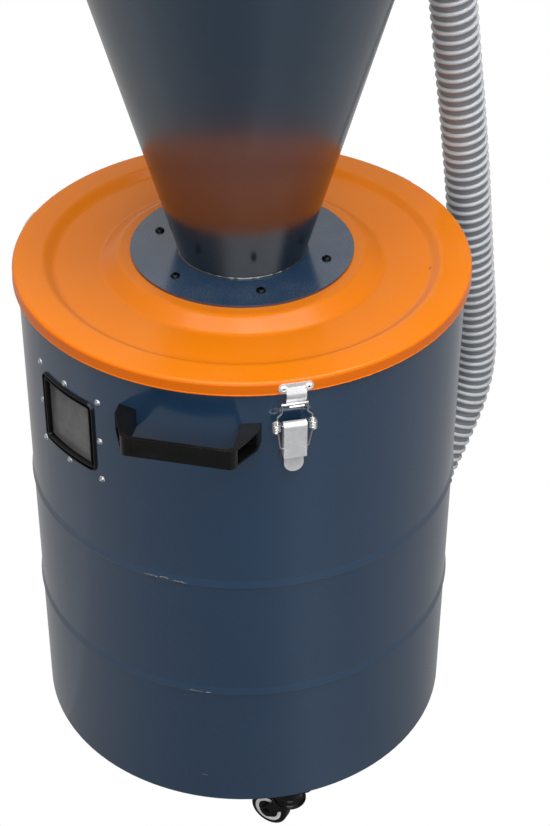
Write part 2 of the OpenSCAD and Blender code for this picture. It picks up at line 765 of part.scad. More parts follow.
// Points of the hose's centre line, from the port up: distance from the drum's axis and height above its lower edge.
hose_route = [
    [296, 178], [307, 199], [318, 222], [330, 248], [341, 276], [349, 306], [352, 338], [351, 369], [346, 417],
    [339, 467], [332, 516], [325, 566], [318, 616], [310, 666], [302, 715], [293, 765], [283, 825],
    [276, 863], [269, 900], [262, 935], [256, 970], [252, 1002], [250, 1030]
];
hose_line = [for (p = hose_route) p + [0, base_z]];
port_rise = 62;
port_gap = 15;
port_reach = 160;
hose_top = hose_line[len(hose_line) - 1];

// The port's own frame: z along its bore, with the origin where the hose starts.
module port_axis() at(hose_az, hose_line[0][0], hose_line[0][1]) rotate([0, 90 - port_rise, 0]) children();

module outside_drum() difference() {
    children();
    cylinder(r = drum_r - drum_wall, h = lid_z);
}

module hose_port() {
    color(slate) outside_drum() port_axis() translate([0, 0, -port_reach]) difference() {
        cylinder(d = port_d, h = port_reach - port_gap);
        translate([0, 0, -eps]) cylinder(d = port_d - 2 * port_wall, h = port_reach);
    }
}

module hose_cuff_lower() {
    color(black) port_axis() translate([0, 0, -cuff_l]) difference() {
        cylinder(d = port_d + 2 * cuff_wall, h = cuff_l);
        translate([0, 0, -eps]) cylinder(d = port_d, h = cuff_l + 1);
    }
}

module hose_clamp() {
    band_d = port_d + 2 * cuff_wall;
    color(steel) port_axis() translate([0, 0, -cuff_l + 9]) {
        difference() {
            cylinder(d = band_d + 1.6, h = clamp_w);
            translate([0, 0, -eps]) cylinder(d = band_d, h = clamp_w + 1);
        }
        translate([-band_d / 2 - 5, -7, 0]) difference() {
            cube([5, 14, clamp_w]);
            translate([band_d / 2 + 5, 7, -eps]) cylinder(d = band_d + 0.8, h = clamp_w + 1);
        }
    }
}

// Rings of the hose: at each point of the route a circle square to the route.
function route_dir(i) = let (
    a = hose_line[max(i - 1, 0)], b = hose_line[min(i + 1, len(hose_line) - 1)]
) i == 0 ? polar(1, port_rise) : i == len(hose_line) - 1 ? [0, 1] : (b - a) / norm(b - a);
function hose_ring(i, r, sides) = let (p = hose_line[i], d = route_dir(i)) [
    for (k = [0 : sides - 1]) let (a = k * 360 / sides)
        [p[0] - d[1] * r * cos(a), r * sin(a), p[1] + d[0] * r * cos(a)]
];

module hose() {
    sides = 12;
    n = len(hose_line);
    rings = concat(
        [for (i = [0 : n - 1]) each hose_ring(i, hose_d / 2, sides)],
        [for (i = [0 : n - 1]) each hose_ring(i, hose_d / 2 - hose_wall, sides)]
    );
    m = n * sides;
    function quad(a, b, c, d) = [a, b, c, d];
    faces = concat(
        [for (i = [0 : n - 2], k = [0 : sides - 1]) let (j = (k + 1) % sides)
            quad(i * sides + k, (i + 1) * sides + k, (i + 1) * sides + j, i * sides + j)],
        [for (i = [0 : n - 2], k = [0 : sides - 1]) let (j = (k + 1) % sides)
            quad(m + i * sides + k, m + i * sides + j, m + (i + 1) * sides + j, m + (i + 1) * sides + k)],
        [for (k = [0 : sides - 1]) let (j = (k + 1) % sides) quad(k, j, m + j, m + k)],
        [for (k = [0 : sides - 1]) let (j = (k + 1) % sides, e = (n - 1) * sides)
            quad(e + k, m + e + k, m + e + j, e + j)]
    );
    color(grey) rotate([0, 0, hose_az]) polyhedron(rings, faces, convexity = 8);
}

module hose_cuff_upper() {
    h = mouth_z - hose_top[1];
    color(black) at(hose_az, hose_top[0], hose_top[1]) difference() {
        cylinder(d = port_d + 2 * cuff_wall, h = h);
        translate([0, 0, -eps]) cylinder(d = port_d, h = h + 1);
    }
}

module hose_bracket() {
    strap = 2.5;
    strap_h = 20;
    cuff_r = port_d / 2 + cuff_wall;
    inner = mouth_r + 3;
    color(slate) difference() {
        union() {
            at(hose_az, hose_top[0], mouth_z - strap_h) cylinder(r = cuff_r + strap, h = strap_h);
            at(hose_az, inner, mouth_z - strap) translate([0, -strap_h, 0])
                cube([hose_top[0] - inner, 2 * strap_h, strap]);
        }
        at(hose_az, hose_top[0], mouth_z - strap_h - 1) cylinder(r = cuff_r, h = strap_h + 2);
    }
}

drum_shell();
drum_floor();
lid();
lid_gasket();
neck_flange();
cone_shell();
mouth_flange();
neck_bolts();
window_pane();
window_trim();
window_screws();
front_handle();
rear_handle();
latch_base_1();
latch_base_2();
latch_base_3();
latch_keeper_1();
latch_keeper_2();
latch_keeper_3();
latch_lever_1();
latch_lever_2();
latch_lever_3();
latch_bail_1();
latch_bail_2();
latch_bail_3();
caster_plate_1();
caster_plate_2();
caster_plate_3();
caster_fork_1();
caster_fork_2();
caster_fork_3();
caster_wheel_1();
caster_wheel_2();
caster_wheel_3();
hose_port();
hose_cuff_lower();
hose_clamp();
hose();
hose_cuff_upper();
hose_bracket();
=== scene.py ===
"""Dresses a cyclone dust collector's drum, lid, cone, latches, casters and balance hose.

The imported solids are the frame. Each class below holds the sizes of one sub-assembly in metres, builds the
pieces that need a finer shape than the solids have, and gives every piece its finish.
"""

import json
import logging
import math
from dataclasses import dataclass, field
from enum import Enum
from typing import Iterable, Sequence

import bmesh
import bpy
from bmesh.types import BMesh, BMVert
from mathutils import Matrix, Vector

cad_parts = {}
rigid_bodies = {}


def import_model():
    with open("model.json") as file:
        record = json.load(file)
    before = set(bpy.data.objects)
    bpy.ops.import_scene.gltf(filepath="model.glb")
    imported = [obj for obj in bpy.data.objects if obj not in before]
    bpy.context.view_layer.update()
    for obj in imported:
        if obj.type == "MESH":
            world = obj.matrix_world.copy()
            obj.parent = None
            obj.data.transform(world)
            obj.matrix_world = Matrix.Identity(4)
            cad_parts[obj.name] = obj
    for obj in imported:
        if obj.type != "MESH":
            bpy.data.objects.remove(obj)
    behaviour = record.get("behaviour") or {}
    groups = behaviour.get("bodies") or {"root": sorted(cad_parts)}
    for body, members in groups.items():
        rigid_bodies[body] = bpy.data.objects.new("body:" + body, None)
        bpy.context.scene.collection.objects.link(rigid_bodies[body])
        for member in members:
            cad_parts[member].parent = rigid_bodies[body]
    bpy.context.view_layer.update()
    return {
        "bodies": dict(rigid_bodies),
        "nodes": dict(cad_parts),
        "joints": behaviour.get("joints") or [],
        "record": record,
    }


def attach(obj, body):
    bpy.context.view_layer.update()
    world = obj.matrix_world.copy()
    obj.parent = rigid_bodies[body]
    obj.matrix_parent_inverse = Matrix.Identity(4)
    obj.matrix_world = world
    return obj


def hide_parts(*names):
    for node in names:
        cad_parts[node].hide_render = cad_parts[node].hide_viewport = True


LOG = logging.getLogger("dust_collector")
MM = 0.001
FOOT = 80.0 * MM
ROOT = "base_unit"

Socket = bpy.types.NodeSocket
Material = bpy.types.Material
Colour = tuple[float, float, float]
Profile = Sequence[tuple[float, float]]
Shades = dict[float, tuple[float, float]]
WHITE: Colour = (1.0, 1.0, 1.0)


class Slot(Enum):
    """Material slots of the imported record."""

    SLATE = "slate_paint"
    ORANGE = "orange_paint"
    BLACK_STEEL = "black_steel"
    STAINLESS = "stainless"
    ZINC = "zinc_steel"
    BLACK_PAINT = "black_paint"
    PLASTIC = "black_plastic"
    RUBBER = "black_rubber"
    TREAD = "wheel_tread"
    WINDOW = "window"
    HOSE = "grey_hose"


# ---------------------------------------------------------------------------------------------------------
# Shader sheets
# ---------------------------------------------------------------------------------------------------------


class Sheet:
    """A node tree that is filled in one call per node."""

    def __init__(self, tree: bpy.types.NodeTree) -> None:
        """Starts with an empty tree.

        Args:
            tree: The material's tree or a node group's.
        """
        self.tree = tree
        self.tree.nodes.clear()

    def add(self, kind: str, settings: dict[str, object] | None = None, **inputs: object) -> bpy.types.Node:
        """Adds a node.

        Args:
            kind: Node type name without its ShaderNode prefix, or a full type name.
            settings: Attributes of the node, such as its operation.
            inputs: Values or sockets by input name, with underscores for spaces, or in0, in1 by position.

        Returns:
            The new node.
        """
        full = kind if kind.startswith("Node") else "ShaderNode" + kind
        node = self.tree.nodes.new(full)
        for key, value in (settings or {}).items():
            setattr(node, key, value)
        for key, value in inputs.items():
            socket = node.inputs[int(key[2:])] if key.startswith("in") and key[2:].isdigit() else (
                node.inputs[key.replace("_", " ")])
            if isinstance(value, Socket):
                self.tree.links.new(value, socket)
            else:
                socket.default_value = value
        return node

    def math(self, operation: str, a: object, b: object = 0.0, clamp: bool = False) -> Socket:
        """Adds a Math node and returns its result."""
        node = self.add("Math", {"operation": operation, "use_clamp": clamp}, in0=a, in1=b)
        return node.outputs[0]

    def times(self, a: object, b: object, clamp: bool = False) -> Socket:
        """Multiplies two values."""
        return self.math("MULTIPLY", a, b, clamp)

    def plus(self, a: object, b: object, clamp: bool = False) -> Socket:
        """Adds two values."""
        return self.math("ADD", a, b, clamp)

    def noise(self, vector: object, scale: object, detail: float, roughness: float = 0.5) -> Socket:
        """Adds a Noise Texture and returns its value."""
        return self.add("TexNoise", Vector=vector, Scale=scale, Detail=detail, Roughness=roughness).outputs[0]

    def blend(self, factor: object, a: object, b: object) -> Socket:
        """Mixes two colours by a factor and returns the colour."""
        node = self.add("Mix", {"data_type": "RGBA"}, in0=factor, in6=a, in7=b)
        return node.outputs[2]

    def between(self, value: object, low: float, high: float, to_low: float = 0.0, to_high: float = 1.0,
                smooth: bool = True) -> Socket:
        """Maps a value from one range to another, clamped, and returns it.

        Args:
            value: The value.
            low: Where its range starts.
            high: Where its range ends.
            to_low: Result at low.
            to_high: Result at high.
            smooth: Whether the result eases in and out.

        Returns:
            The result.
        """
        node = self.add("MapRange", {"interpolation_type": "SMOOTHSTEP" if smooth else "LINEAR"},
                        Value=value, in1=low, in2=high, in3=to_low, in4=to_high)
        return node.outputs[0]


def rgba(colour: Colour) -> tuple[float, float, float, float]:
    """Adds a full alpha to a colour."""
    return (*colour, 1.0)


class Groups:
    """Shader node groups that several finishes share, each made once."""

    @staticmethod
    def _new(name: str, inputs: Sequence[tuple[str, str, object]], outputs: Sequence[tuple[str, str]]
             ) -> tuple[Sheet, bpy.types.Node] | None:
        """Makes an empty group with its sockets, unless it is there already.

        Args:
            name: The group's name.
            inputs: Name, socket kind and default of each input.
            outputs: Name and socket kind of each output.

        Returns:
            The group's sheet and its input node, or None if the group exists.
        """
        if name in bpy.data.node_groups:
            return None
        tree = bpy.data.node_groups.new(name, "ShaderNodeTree")
        for label, kind, default in inputs:
            socket = tree.interface.new_socket(name=label, in_out="INPUT", socket_type="NodeSocket" + kind)
            if default is not None:
                socket.default_value = default
        for label, kind in outputs:
            tree.interface.new_socket(name=label, in_out="OUTPUT", socket_type="NodeSocket" + kind)
        sheet = Sheet(tree)
        return sheet, sheet.add("NodeGroupInput")

    @classmethod
    def orange_peel(cls) -> bpy.types.NodeTree:
        """Sprayed powder's dimpled skin: a height and a fine fleck of shade.

        Returns:
            The group.
        """
        made = cls._new("Orange peel", [("Vector", "Vector", None), ("Dimples", "Float", 420.0)],
                        [("Height", "Float"), ("Fleck", "Float")])
        if made:
            sheet, source = made
            vector, dimples = source.outputs[0], source.outputs[1]
            coarse = sheet.noise(vector, dimples, 2.0)
            fine = sheet.noise(vector, sheet.times(dimples, 3.3), 1.0)
            cloud = sheet.noise(vector, 9.0, 4.0)
            height = sheet.plus(coarse, sheet.times(fine, 0.35))
            fleck = sheet.plus(sheet.times(fine, 0.6),
                               sheet.times(cloud, 0.4))
            sheet.add("NodeGroupOutput", Height=height, Fleck=fleck)
        return bpy.data.node_groups["Orange peel"]

    @classmethod
    def chip(cls) -> bpy.types.NodeTree:
        """A ragged chip in paint: a mask that is 1 inside an ellipsoid round a centre.

        Returns:
            The group.
        """
        made = cls._new("Paint chip", [("Vector", "Vector", None), ("Centre", "Vector", (0.0, 0.0, 0.0)),
                                       ("Reach", "Vector", (0.005, 0.005, 0.005)), ("Grain", "Float", 350.0)],
                        [("Mask", "Float")])
        if made:
            sheet, source = made
            vector, centre, reach, grain = source.outputs[:4]
            off = sheet.add("VectorMath", {"operation": "SUBTRACT"}, in0=vector, in1=centre)
            ratio = sheet.add("VectorMath", {"operation": "DIVIDE"}, in0=off.outputs[0], in1=reach)
            span = sheet.add("VectorMath", {"operation": "LENGTH"}, in0=ratio.outputs[0])
            ragged = sheet.noise(vector, grain, 3.0, 0.65)
            edge = sheet.plus(span.outputs["Value"],
                              sheet.times(sheet.math("SUBTRACT", ragged, 0.5), 3.4))
            sheet.add("NodeGroupOutput", Mask=sheet.between(edge, 1.0, 0.82))
        return bpy.data.node_groups["Paint chip"]

    @classmethod
    def dust(cls) -> bpy.types.NodeTree:
        """Settled dust: a mask on faces that look up, patchy and thin.

        Returns:
            The group.
        """
        made = cls._new("Settled dust", [("Vector", "Vector", None), ("Amount", "Float", 0.3),
                                         ("Patches", "Float", 14.0)], [("Mask", "Float")])
        if made:
            sheet, source = made
            vector, amount, patches = source.outputs[:3]
            facing = sheet.add("SeparateXYZ", Vector=sheet.add("NewGeometry").outputs["Normal"])
            up = sheet.between(facing.outputs[2], 0.2, 1.0)
            cloud = sheet.noise(vector, patches, 6.0, 0.6)
            speck = sheet.noise(vector, 900.0, 1.0)
            patchy = sheet.times(sheet.between(cloud, 0.38, 0.7),
                                 sheet.between(speck, 0.42, 0.66))
            sheet.add("NodeGroupOutput", Mask=sheet.times(sheet.times(up, patchy), amount, clamp=True))
        return bpy.data.node_groups["Settled dust"]

    @classmethod
    def scuff(cls) -> bpy.types.NodeTree:
        """Handling marks: thin directional scratches and a rubbed shade.

        Returns:
            The group.
        """
        made = cls._new("Scuff marks", [("Vector", "Vector", None), ("Size", "Float", 60.0),
                                        ("Stretch", "Vector", (1.0, 1.0, 8.0))],
                        [("Scratches", "Float"), ("Rub", "Float")])
        if made:
            sheet, source = made
            vector, size, stretch = source.outputs[:3]
            drawn = sheet.add("VectorMath", {"operation": "MULTIPLY"}, in0=vector, in1=stretch)
            lines = sheet.noise(drawn.outputs[0], sheet.times(size, 8.0), 4.0, 0.7)
            rub = sheet.noise(vector, size, 5.0, 0.6)
            scratches = sheet.times(sheet.between(lines, 0.6, 0.72),
                                    sheet.between(rub, 0.42, 0.68))
            sheet.add("NodeGroupOutput", Scratches=scratches, Rub=rub)
        return bpy.data.node_groups["Scuff marks"]


class Finish:
    """A material with its own sheet, a Principled surface and Object coordinates."""

    def __init__(self, name: str) -> None:
        """Starts the material.

        Args:
            name: The material's name.
        """
        self.material = bpy.data.materials.new(name)
        self.material.use_nodes = True
        self.sheet = Sheet(self.material.node_tree)
        self.surface = self.sheet.add("BsdfPrincipled")
        out = self.sheet.add("OutputMaterial")
        self.sheet.tree.links.new(self.surface.outputs[0], out.inputs[0])
        self.place = self.sheet.add("TexCoord").outputs["Object"]

    def set(self, **inputs: object) -> None:
        """Sets or links sockets of the surface, with underscores for spaces.

        Args:
            inputs: Values or sockets by input name.
        """
        for key, value in inputs.items():
            socket = self.surface.inputs[key.replace("_", " ")]
            if isinstance(value, Socket):
                self.sheet.tree.links.new(value, socket)
            else:
                socket.default_value = value

    def group(self, tree: bpy.types.NodeTree, **inputs: object) -> bpy.types.Node:
        """Places a shared group in this material.

        Args:
            tree: The group.
            inputs: Values or sockets by input name.

        Returns:
            The group node.
        """
        node = self.sheet.add("Group", {"node_tree": tree}, **inputs)
        if "Vector" in node.inputs and not node.inputs["Vector"].is_linked:
            self.sheet.tree.links.new(self.place, node.inputs["Vector"])
        return node

    def bump(self, height: Socket, strength: float, distance: float) -> Socket:
        """Adds a Bump node and returns its normal."""
        node = self.sheet.add("Bump", Strength=strength, Distance=distance, Height=height)
        return node.outputs["Normal"]


@dataclass(frozen=True)
class Chip:
    """One paint chip by azimuth in degrees, radius, height and half sizes, in metres."""

    azimuth: float
    radius: float
    height: float
    along: float
    tall: float

    def centre(self) -> Vector:
        """The chip's middle."""
        turn = math.radians(self.azimuth)
        return Vector((self.radius * math.cos(turn), self.radius * math.sin(turn), self.height))


@dataclass(frozen=True)
class PowderCoat:
    """Semi-gloss sprayed powder on sheet steel, with a second colour beyond a radius where one is given: painted light
    and shade by radius.
    """

    name: str
    colour: Colour
    deep: Colour
    roughness: float = 0.3
    dimple_depth: float = 0.00006
    chips: tuple[Chip, ...] = ()
    bare: Colour = (0.012, 0.011, 0.01)
    pale: Colour = (0.3, 0.33, 0.36)
    dust: float = 0.12
    shine: float = 0.5
    ior: float = 1.5
    # A second colour beyond these radii paints light and shade; it is not a second paint.
    outer: Colour | None = None
    painted_light_radii: tuple[float, float] = (0.0, 1.0)

    def material(self) -> Material:
        """Builds the material.

        Returns:
            The material.
        """
        finish = Finish(self.name)
        sheet = finish.sheet
        peel = finish.group(Groups.orange_peel())
        fleck = sheet.between(peel.outputs["Fleck"], 0.38, 0.62, smooth=False)
        colour = sheet.blend(fleck, rgba(self.deep), rgba(self.colour))
        # Painted light and shade by radius: the colour blends to the outer one across the given radii.
        if self.outer:
            level = sheet.add("VectorMath", {"operation": "MULTIPLY"}, in0=finish.place, in1=(1.0, 1.0, 0.0))
            reach = sheet.add("VectorMath", {"operation": "LENGTH"}, in0=level.outputs[0]).outputs["Value"]
            colour = sheet.blend(sheet.between(reach, *self.painted_light_radii), colour, rgba(self.outer))
        gloss = sheet.plus(self.roughness, sheet.times(fleck, 0.05))
        height = peel.outputs["Height"]
        dusty = finish.group(Groups.dust(), Amount=self.dust)
        colour = sheet.blend(dusty.outputs["Mask"], colour, rgba((0.45, 0.42, 0.38)))
        for chip in self.chips:
            spot = chip.centre()
            reach = (chip.along, chip.along, chip.tall)
            core = finish.group(Groups.chip(), Centre=spot, Reach=reach)
            rim = finish.group(Groups.chip(), Centre=spot + Vector((0.0, 0.0, chip.tall * 0.5)), Reach=reach)
            colour = sheet.blend(rim.outputs["Mask"], colour, rgba(self.pale))
            colour = sheet.blend(core.outputs["Mask"], colour, rgba(self.bare))
            gloss = sheet.plus(gloss, sheet.times(core.outputs["Mask"], 0.4), clamp=True)
            height = sheet.math("SUBTRACT", height, core.outputs["Mask"])
        finish.set(Base_Color=colour, Roughness=gloss, Normal=finish.bump(height, 0.14, self.dimple_depth))
        finish.set(Specular_IOR_Level=self.shine, IOR=self.ior)
        return finish.material


@dataclass(frozen=True)
class Steel:
    """Bare, plated or blackened steel with a drawn grain."""

    name: str
    colour: Colour
    shade: Colour
    roughness: float = 0.28
    grain: tuple[float, float, float] = (1.0, 1.0, 12.0)
    grain_size: float = 90.0
    metal: float = 1.0

    def material(self) -> Material:
        """Builds the material.

        Returns:
            The material.
        """
        finish = Finish(self.name)
        sheet = finish.sheet
        marks = finish.group(Groups.scuff(), Size=self.grain_size, Stretch=self.grain)
        rub = sheet.between(marks.outputs["Rub"], 0.35, 0.65, smooth=False)
        colour = sheet.blend(rub, rgba(self.colour), rgba(self.shade))
        rough = sheet.plus(self.roughness - 0.05, sheet.times(rub, 0.14))
        rough = sheet.plus(rough, sheet.times(marks.outputs["Scratches"], 0.12), clamp=True)
        finish.set(Base_Color=colour, Roughness=rough, Metallic=self.metal,
                   Normal=finish.bump(marks.outputs["Scratches"], 0.12, 0.00004))
        return finish.material


@dataclass(frozen=True)
class Moulding:
    """Moulded plastic or rubber with a fine grain, rubbed paler where hands and floors touch it."""

    name: str
    colour: Colour
    worn: Colour
    roughness: float = 0.42
    wear: float = 0.35
    grain_size: float = 1500.0
    grain_depth: float = 0.00003
    shine: float = 0.5

    def material(self) -> Material:
        """Builds the material.

        Returns:
            The material.
        """
        finish = Finish(self.name)
        sheet = finish.sheet
        marks = finish.group(Groups.scuff(), Size=55.0, Stretch=(1.0, 1.0, 3.0))
        rubbed = sheet.times(sheet.between(marks.outputs["Rub"], 0.45, 0.75), self.wear)
        rubbed = sheet.plus(rubbed, sheet.times(marks.outputs["Scratches"], self.wear), clamp=True)
        grain = sheet.noise(finish.place, self.grain_size, 2.0)
        rough = sheet.plus(self.roughness, sheet.times(rubbed, 0.2), clamp=True)
        finish.set(Base_Color=sheet.blend(rubbed, rgba(self.colour), rgba(self.worn)), Roughness=rough,
                   Specular_IOR_Level=self.shine, Normal=finish.bump(grain, 0.3, self.grain_depth))
        return finish.material


@dataclass(frozen=True)
class DustyPane:
    """A clear plastic pane with fine dust stuck to its inner face, which hides the drum's dark inside."""

    name: str = "dusty_pane"
    clear: Colour = (0.1, 0.102, 0.102)
    film: Colour = (0.18, 0.185, 0.185)

    def material(self) -> Material:
        """Builds the material.

        Returns:
            The material.
        """
        finish = Finish(self.name)
        sheet = finish.sheet
        smear = sheet.noise(finish.place, 26.0, 6.0, 0.62)
        speck = sheet.noise(finish.place, 1300.0, 2.0)
        film = sheet.times(sheet.between(smear, 0.3, 0.72),
                           sheet.between(speck, 0.35, 0.6, 0.55, 1.0))
        finish.set(Base_Color=sheet.blend(film, rgba(self.clear), rgba(self.film)), Roughness=0.25,
                   Specular_IOR_Level=0.25)
        return finish.material


class Finishes:
    """All finishes of the unit, made once and handed out by name."""

    BEAD_HIGH = FOOT + 0.337
    BEAD_LOW = FOOT + 0.175

    def __init__(self) -> None:
        """Builds every material."""
        wall = 0.2515
        chips = (
            Chip(-125.6, wall, self.BEAD_HIGH + 0.001, 0.007, 0.0014),
            Chip(-122.0, wall, self.BEAD_HIGH + 0.002, 0.006, 0.0016),
            Chip(-118.2, wall, self.BEAD_HIGH + 0.001, 0.009, 0.0012),
            Chip(-114.6, wall, self.BEAD_LOW + 0.001, 0.008, 0.0013),
            Chip(-111.2, wall, self.BEAD_LOW + 0.001, 0.004, 0.001),
            Chip(-112.7, 0.25, FOOT + 0.038, 0.003, 0.0008),
        )
        lid_chips = (Chip(-19.0, 0.2095, FOOT + 0.6095, 0.0022, 0.0022),)
        self.slate = PowderCoat("slate_powder", (0.014, 0.044, 0.096), (0.012, 0.039, 0.087), roughness=0.15,
                                ior=2.0, chips=chips).material()
        # The cone's darker colour towards its foot is painted shade; the outer colour is the paint's own.
        self.cone = PowderCoat("cone_powder", (0.004, 0.01, 0.019), (0.004, 0.009, 0.017), roughness=0.18,
                               outer=(0.013, 0.037, 0.068), painted_light_radii=(0.08, 0.145),
                               ior=2.0).material()
        # The redder colour on the skirt, beyond the lid's top, is painted light for its upright face.
        self.orange = PowderCoat("orange_powder", (0.72, 0.186, 0.002), (0.7, 0.178, 0.002), roughness=0.22, shine=0.25,
                                 chips=lid_chips, bare=(0.1, 0.03, 0.01), pale=(0.86, 0.24, 0.003),
                                 dust=0.05, outer=(0.8, 0.165, 0.003), painted_light_radii=(0.2535, 0.2545)).material()
        self.stainless = Steel("stainless", (0.88, 0.88, 0.89), (0.74, 0.74, 0.76), metal=0.45).material()
        # A darker copy of the steel: painted shade for the latch bases behind the levers.
        self.painted_shade_steel = Steel("base_steel", (0.3, 0.3, 0.31), (0.2, 0.2, 0.21), roughness=0.35).material()
        self.wire = Steel("spring_wire", (0.82, 0.82, 0.83), (0.66, 0.66, 0.68), roughness=0.22).material()
        self.bright = Steel("bright_zinc", (0.95, 0.95, 0.95), (0.88, 0.88, 0.89), roughness=0.3, metal=0.2).material()
        self.zinc = Steel("zinc_plate", (0.62, 0.64, 0.66), (0.45, 0.47, 0.5), roughness=0.35).material()
        self.black_steel = Steel("black_oxide", (0.03, 0.03, 0.033), (0.015, 0.015, 0.017), roughness=0.3).material()
        self.black_paint = Moulding("black_enamel", (0.003, 0.003, 0.0035), (0.012, 0.012, 0.012), roughness=0.12,
                                    wear=0.1, grain_size=500.0, shine=0.35).material()
        self.plastic = Moulding("black_plastic", (0.004, 0.0042, 0.0046), (0.01, 0.01, 0.011), roughness=0.24,
                                wear=0.4, shine=0.4).material()
        self.rubber = Moulding("black_rubber", (0.006, 0.006, 0.0065), (0.02, 0.02, 0.02), roughness=0.5).material()
        self.seal = Moulding("seal_rubber", (0.003, 0.003, 0.004), (0.006, 0.006, 0.006), roughness=0.3,
                             wear=0.2, shine=0.3).material()
        self.tread = Moulding("wheel_rubber", (0.004, 0.004, 0.0045), (0.012, 0.012, 0.012), roughness=0.3,
                              shine=0.3).material()
        self.grey_rim = Moulding("grey_rim", (0.88, 0.89, 0.9), (0.66, 0.66, 0.67), roughness=0.35).material()
        self.hose = Moulding("grey_hose", (0.22, 0.235, 0.255), (0.18, 0.19, 0.21), roughness=0.38, wear=0.25,
                             grain_size=700.0).material()
        self.spiral = Moulding("pale_spiral", (0.52, 0.54, 0.565), (0.44, 0.455, 0.475), roughness=0.28, wear=0.2,
                               grain_size=700.0).material()
        self.pane = DustyPane().material()


# ---------------------------------------------------------------------------------------------------------
# Workshop: shapes made with mesh operators
# ---------------------------------------------------------------------------------------------------------


def mesh_of(bm: BMesh, name: str) -> bpy.types.Mesh:
    """Turns a shape into a mesh and frees the shape.

    Args:
        bm: The shape.
        name: The mesh's name.

    Returns:
        The mesh.
    """
    mesh = bpy.data.meshes.new(name)
    bm.to_mesh(mesh)
    bm.free()
    return mesh


def linked(name: str, data: bpy.types.ID) -> bpy.types.Object:
    """Makes an object of some data and links it to the scene.

    Args:
        name: The object's name.
        data: Its mesh, lamp or camera data.

    Returns:
        The object.
    """
    piece = bpy.data.objects.new(name, data)
    bpy.context.scene.collection.objects.link(piece)
    return piece


def run_length(points: Sequence[Vector]) -> float:
    """Length of a line of points."""
    return sum((q - p).length for p, q in zip(points, points[1:]))


def pin(radius: float, depth: float, segments: int = 24) -> BMesh:
    """Makes a round pin along z, centred on the origin.

    Args:
        radius: Its radius.
        depth: Its length.
        segments: Faces round it.

    Returns:
        The pin.
    """
    bm = bmesh.new()
    bmesh.ops.create_cone(bm, cap_ends=True, segments=segments, radius1=radius, radius2=radius, depth=depth)
    return bm


def lathe(profile: Profile, segments: int = 96, closed: bool = True) -> BMesh:
    """Spins a profile of radius and height round the Z axis.

    Args:
        profile: Radius and height of each point.
        segments: Faces round the turn.
        closed: Whether the last point joins the first.

    Returns:
        The turned shape.
    """
    bm = bmesh.new()
    verts = [bm.verts.new((r, 0.0, z)) for r, z in profile]
    pairs = list(zip(verts, verts[1:])) + ([(verts[-1], verts[0])] if closed else [])
    edges = [bm.edges.new(pair) for pair in pairs]
    bmesh.ops.spin(bm, geom=verts + edges, cent=(0, 0, 0), axis=(0, 0, 1), dvec=(0, 0, 0), angle=math.tau,
                   steps=segments, use_merge=True, use_duplicate=False)
    bmesh.ops.remove_doubles(bm, verts=bm.verts, dist=1e-6)
    bmesh.ops.recalc_face_normals(bm, faces=bm.faces)
    return bm


def soften(bm: BMesh, width: float, segments: int = 2, angle: float = 30.0) -> BMesh:
    """Rounds every edge that is sharper than an angle.

    Args:
        bm: The shape.
        width: Width of the rounding.
        segments: Faces across the rounding.
        angle: Edges sharper than this many degrees are rounded.

    Returns:
        The same shape.
    """
    limit = math.radians(angle)
    sharp = [e for e in bm.edges if e.is_manifold and e.calc_face_angle(0.0) > limit]
    bmesh.ops.bevel(bm, geom=sharp, offset=width, offset_type="OFFSET", segments=segments, profile=0.5,
                    affect="EDGES", material=-1, clamp_overlap=True)
    return bm


def softened_node(frame: dict, node: str, width: float, segments: int = 2, angle: float = 30.0) -> BMesh:
    """Copies a solid's mesh, merges it and rounds its sharp edges.

    Args:
        node: The solid's name.
        width: Width of the rounding.
        segments: Faces across the rounding.
        angle: Edges sharper than this many degrees are rounded.

    Returns:
        The rounded copy.
    """
    bm = bmesh.new()
    bm.from_mesh(frame["nodes"][node].data)
    bmesh.ops.remove_doubles(bm, verts=bm.verts, dist=2e-6)
    bmesh.ops.dissolve_limit(bm, angle_limit=math.radians(0.8), verts=bm.verts, edges=bm.edges)
    return soften(bm, width, segments, angle)


def frames_along(path: Sequence[Vector]) -> list[Matrix]:
    """Turns a path into placed frames that don't twist, with z along the path.

    Args:
        path: Points of the centre line.

    Returns:
        One matrix per point.
    """
    frames: list[Matrix] = []
    side = Vector((0.0, 1.0, 0.0))
    for i, point in enumerate(path):
        ahead = (path[min(i + 1, len(path) - 1)] - path[max(i - 1, 0)]).normalized()
        if abs(ahead.dot(side)) > 0.95:
            side = Vector((1.0, 0.0, 0.0))
        side = (side - ahead * side.dot(ahead)).normalized()
        other = ahead.cross(side)
        frames.append(Matrix.Translation(point) @ Matrix((side, other, ahead)).transposed().to_4x4())
    return frames


def tube(path: Sequence[Vector], radii: Sequence[float | Sequence[float]], sides: int = 16, capped: bool = True
         ) -> BMesh:
    """Extrudes a ring along a path.

    Args:
        path: Points of the centre line.
        radii: The tube's radius at each point, or one radius for each side there.
        sides: Faces round the tube.
        capped: Whether the two ends are closed.

    Returns:
        The tube.
    """
    bm = bmesh.new()
    ring: list[BMVert] = list(bmesh.ops.create_circle(bm, cap_ends=capped, segments=sides, radius=1.0)["verts"])
    unit = [v.co.copy() for v in ring]
    frames = frames_along(path)
    first = frames[0]
    spread = [r if isinstance(r, Sequence) else [r] * sides for r in radii]
    for v, spot, radius in zip(ring, unit, spread[0]):
        v.co = first @ (spot * radius)
    edges = [e for e in bm.edges]
    for frame, reach in zip(frames[1:], spread[1:]):
        grown = bmesh.ops.extrude_edge_only(bm, edges=edges)["geom"]
        fresh = {v for v in grown if isinstance(v, BMVert)}
        edges = [e for e in grown if isinstance(e, bmesh.types.BMEdge)]
        ring = [next(e.other_vert(v) for e in v.link_edges if e.other_vert(v) in fresh) for v in ring]
        for v, spot, radius in zip(ring, unit, reach):
            v.co = frame @ (spot * radius)
    if capped:
        bmesh.ops.contextual_create(bm, geom=edges)
    bmesh.ops.recalc_face_normals(bm, faces=bm.faces)
    return bm


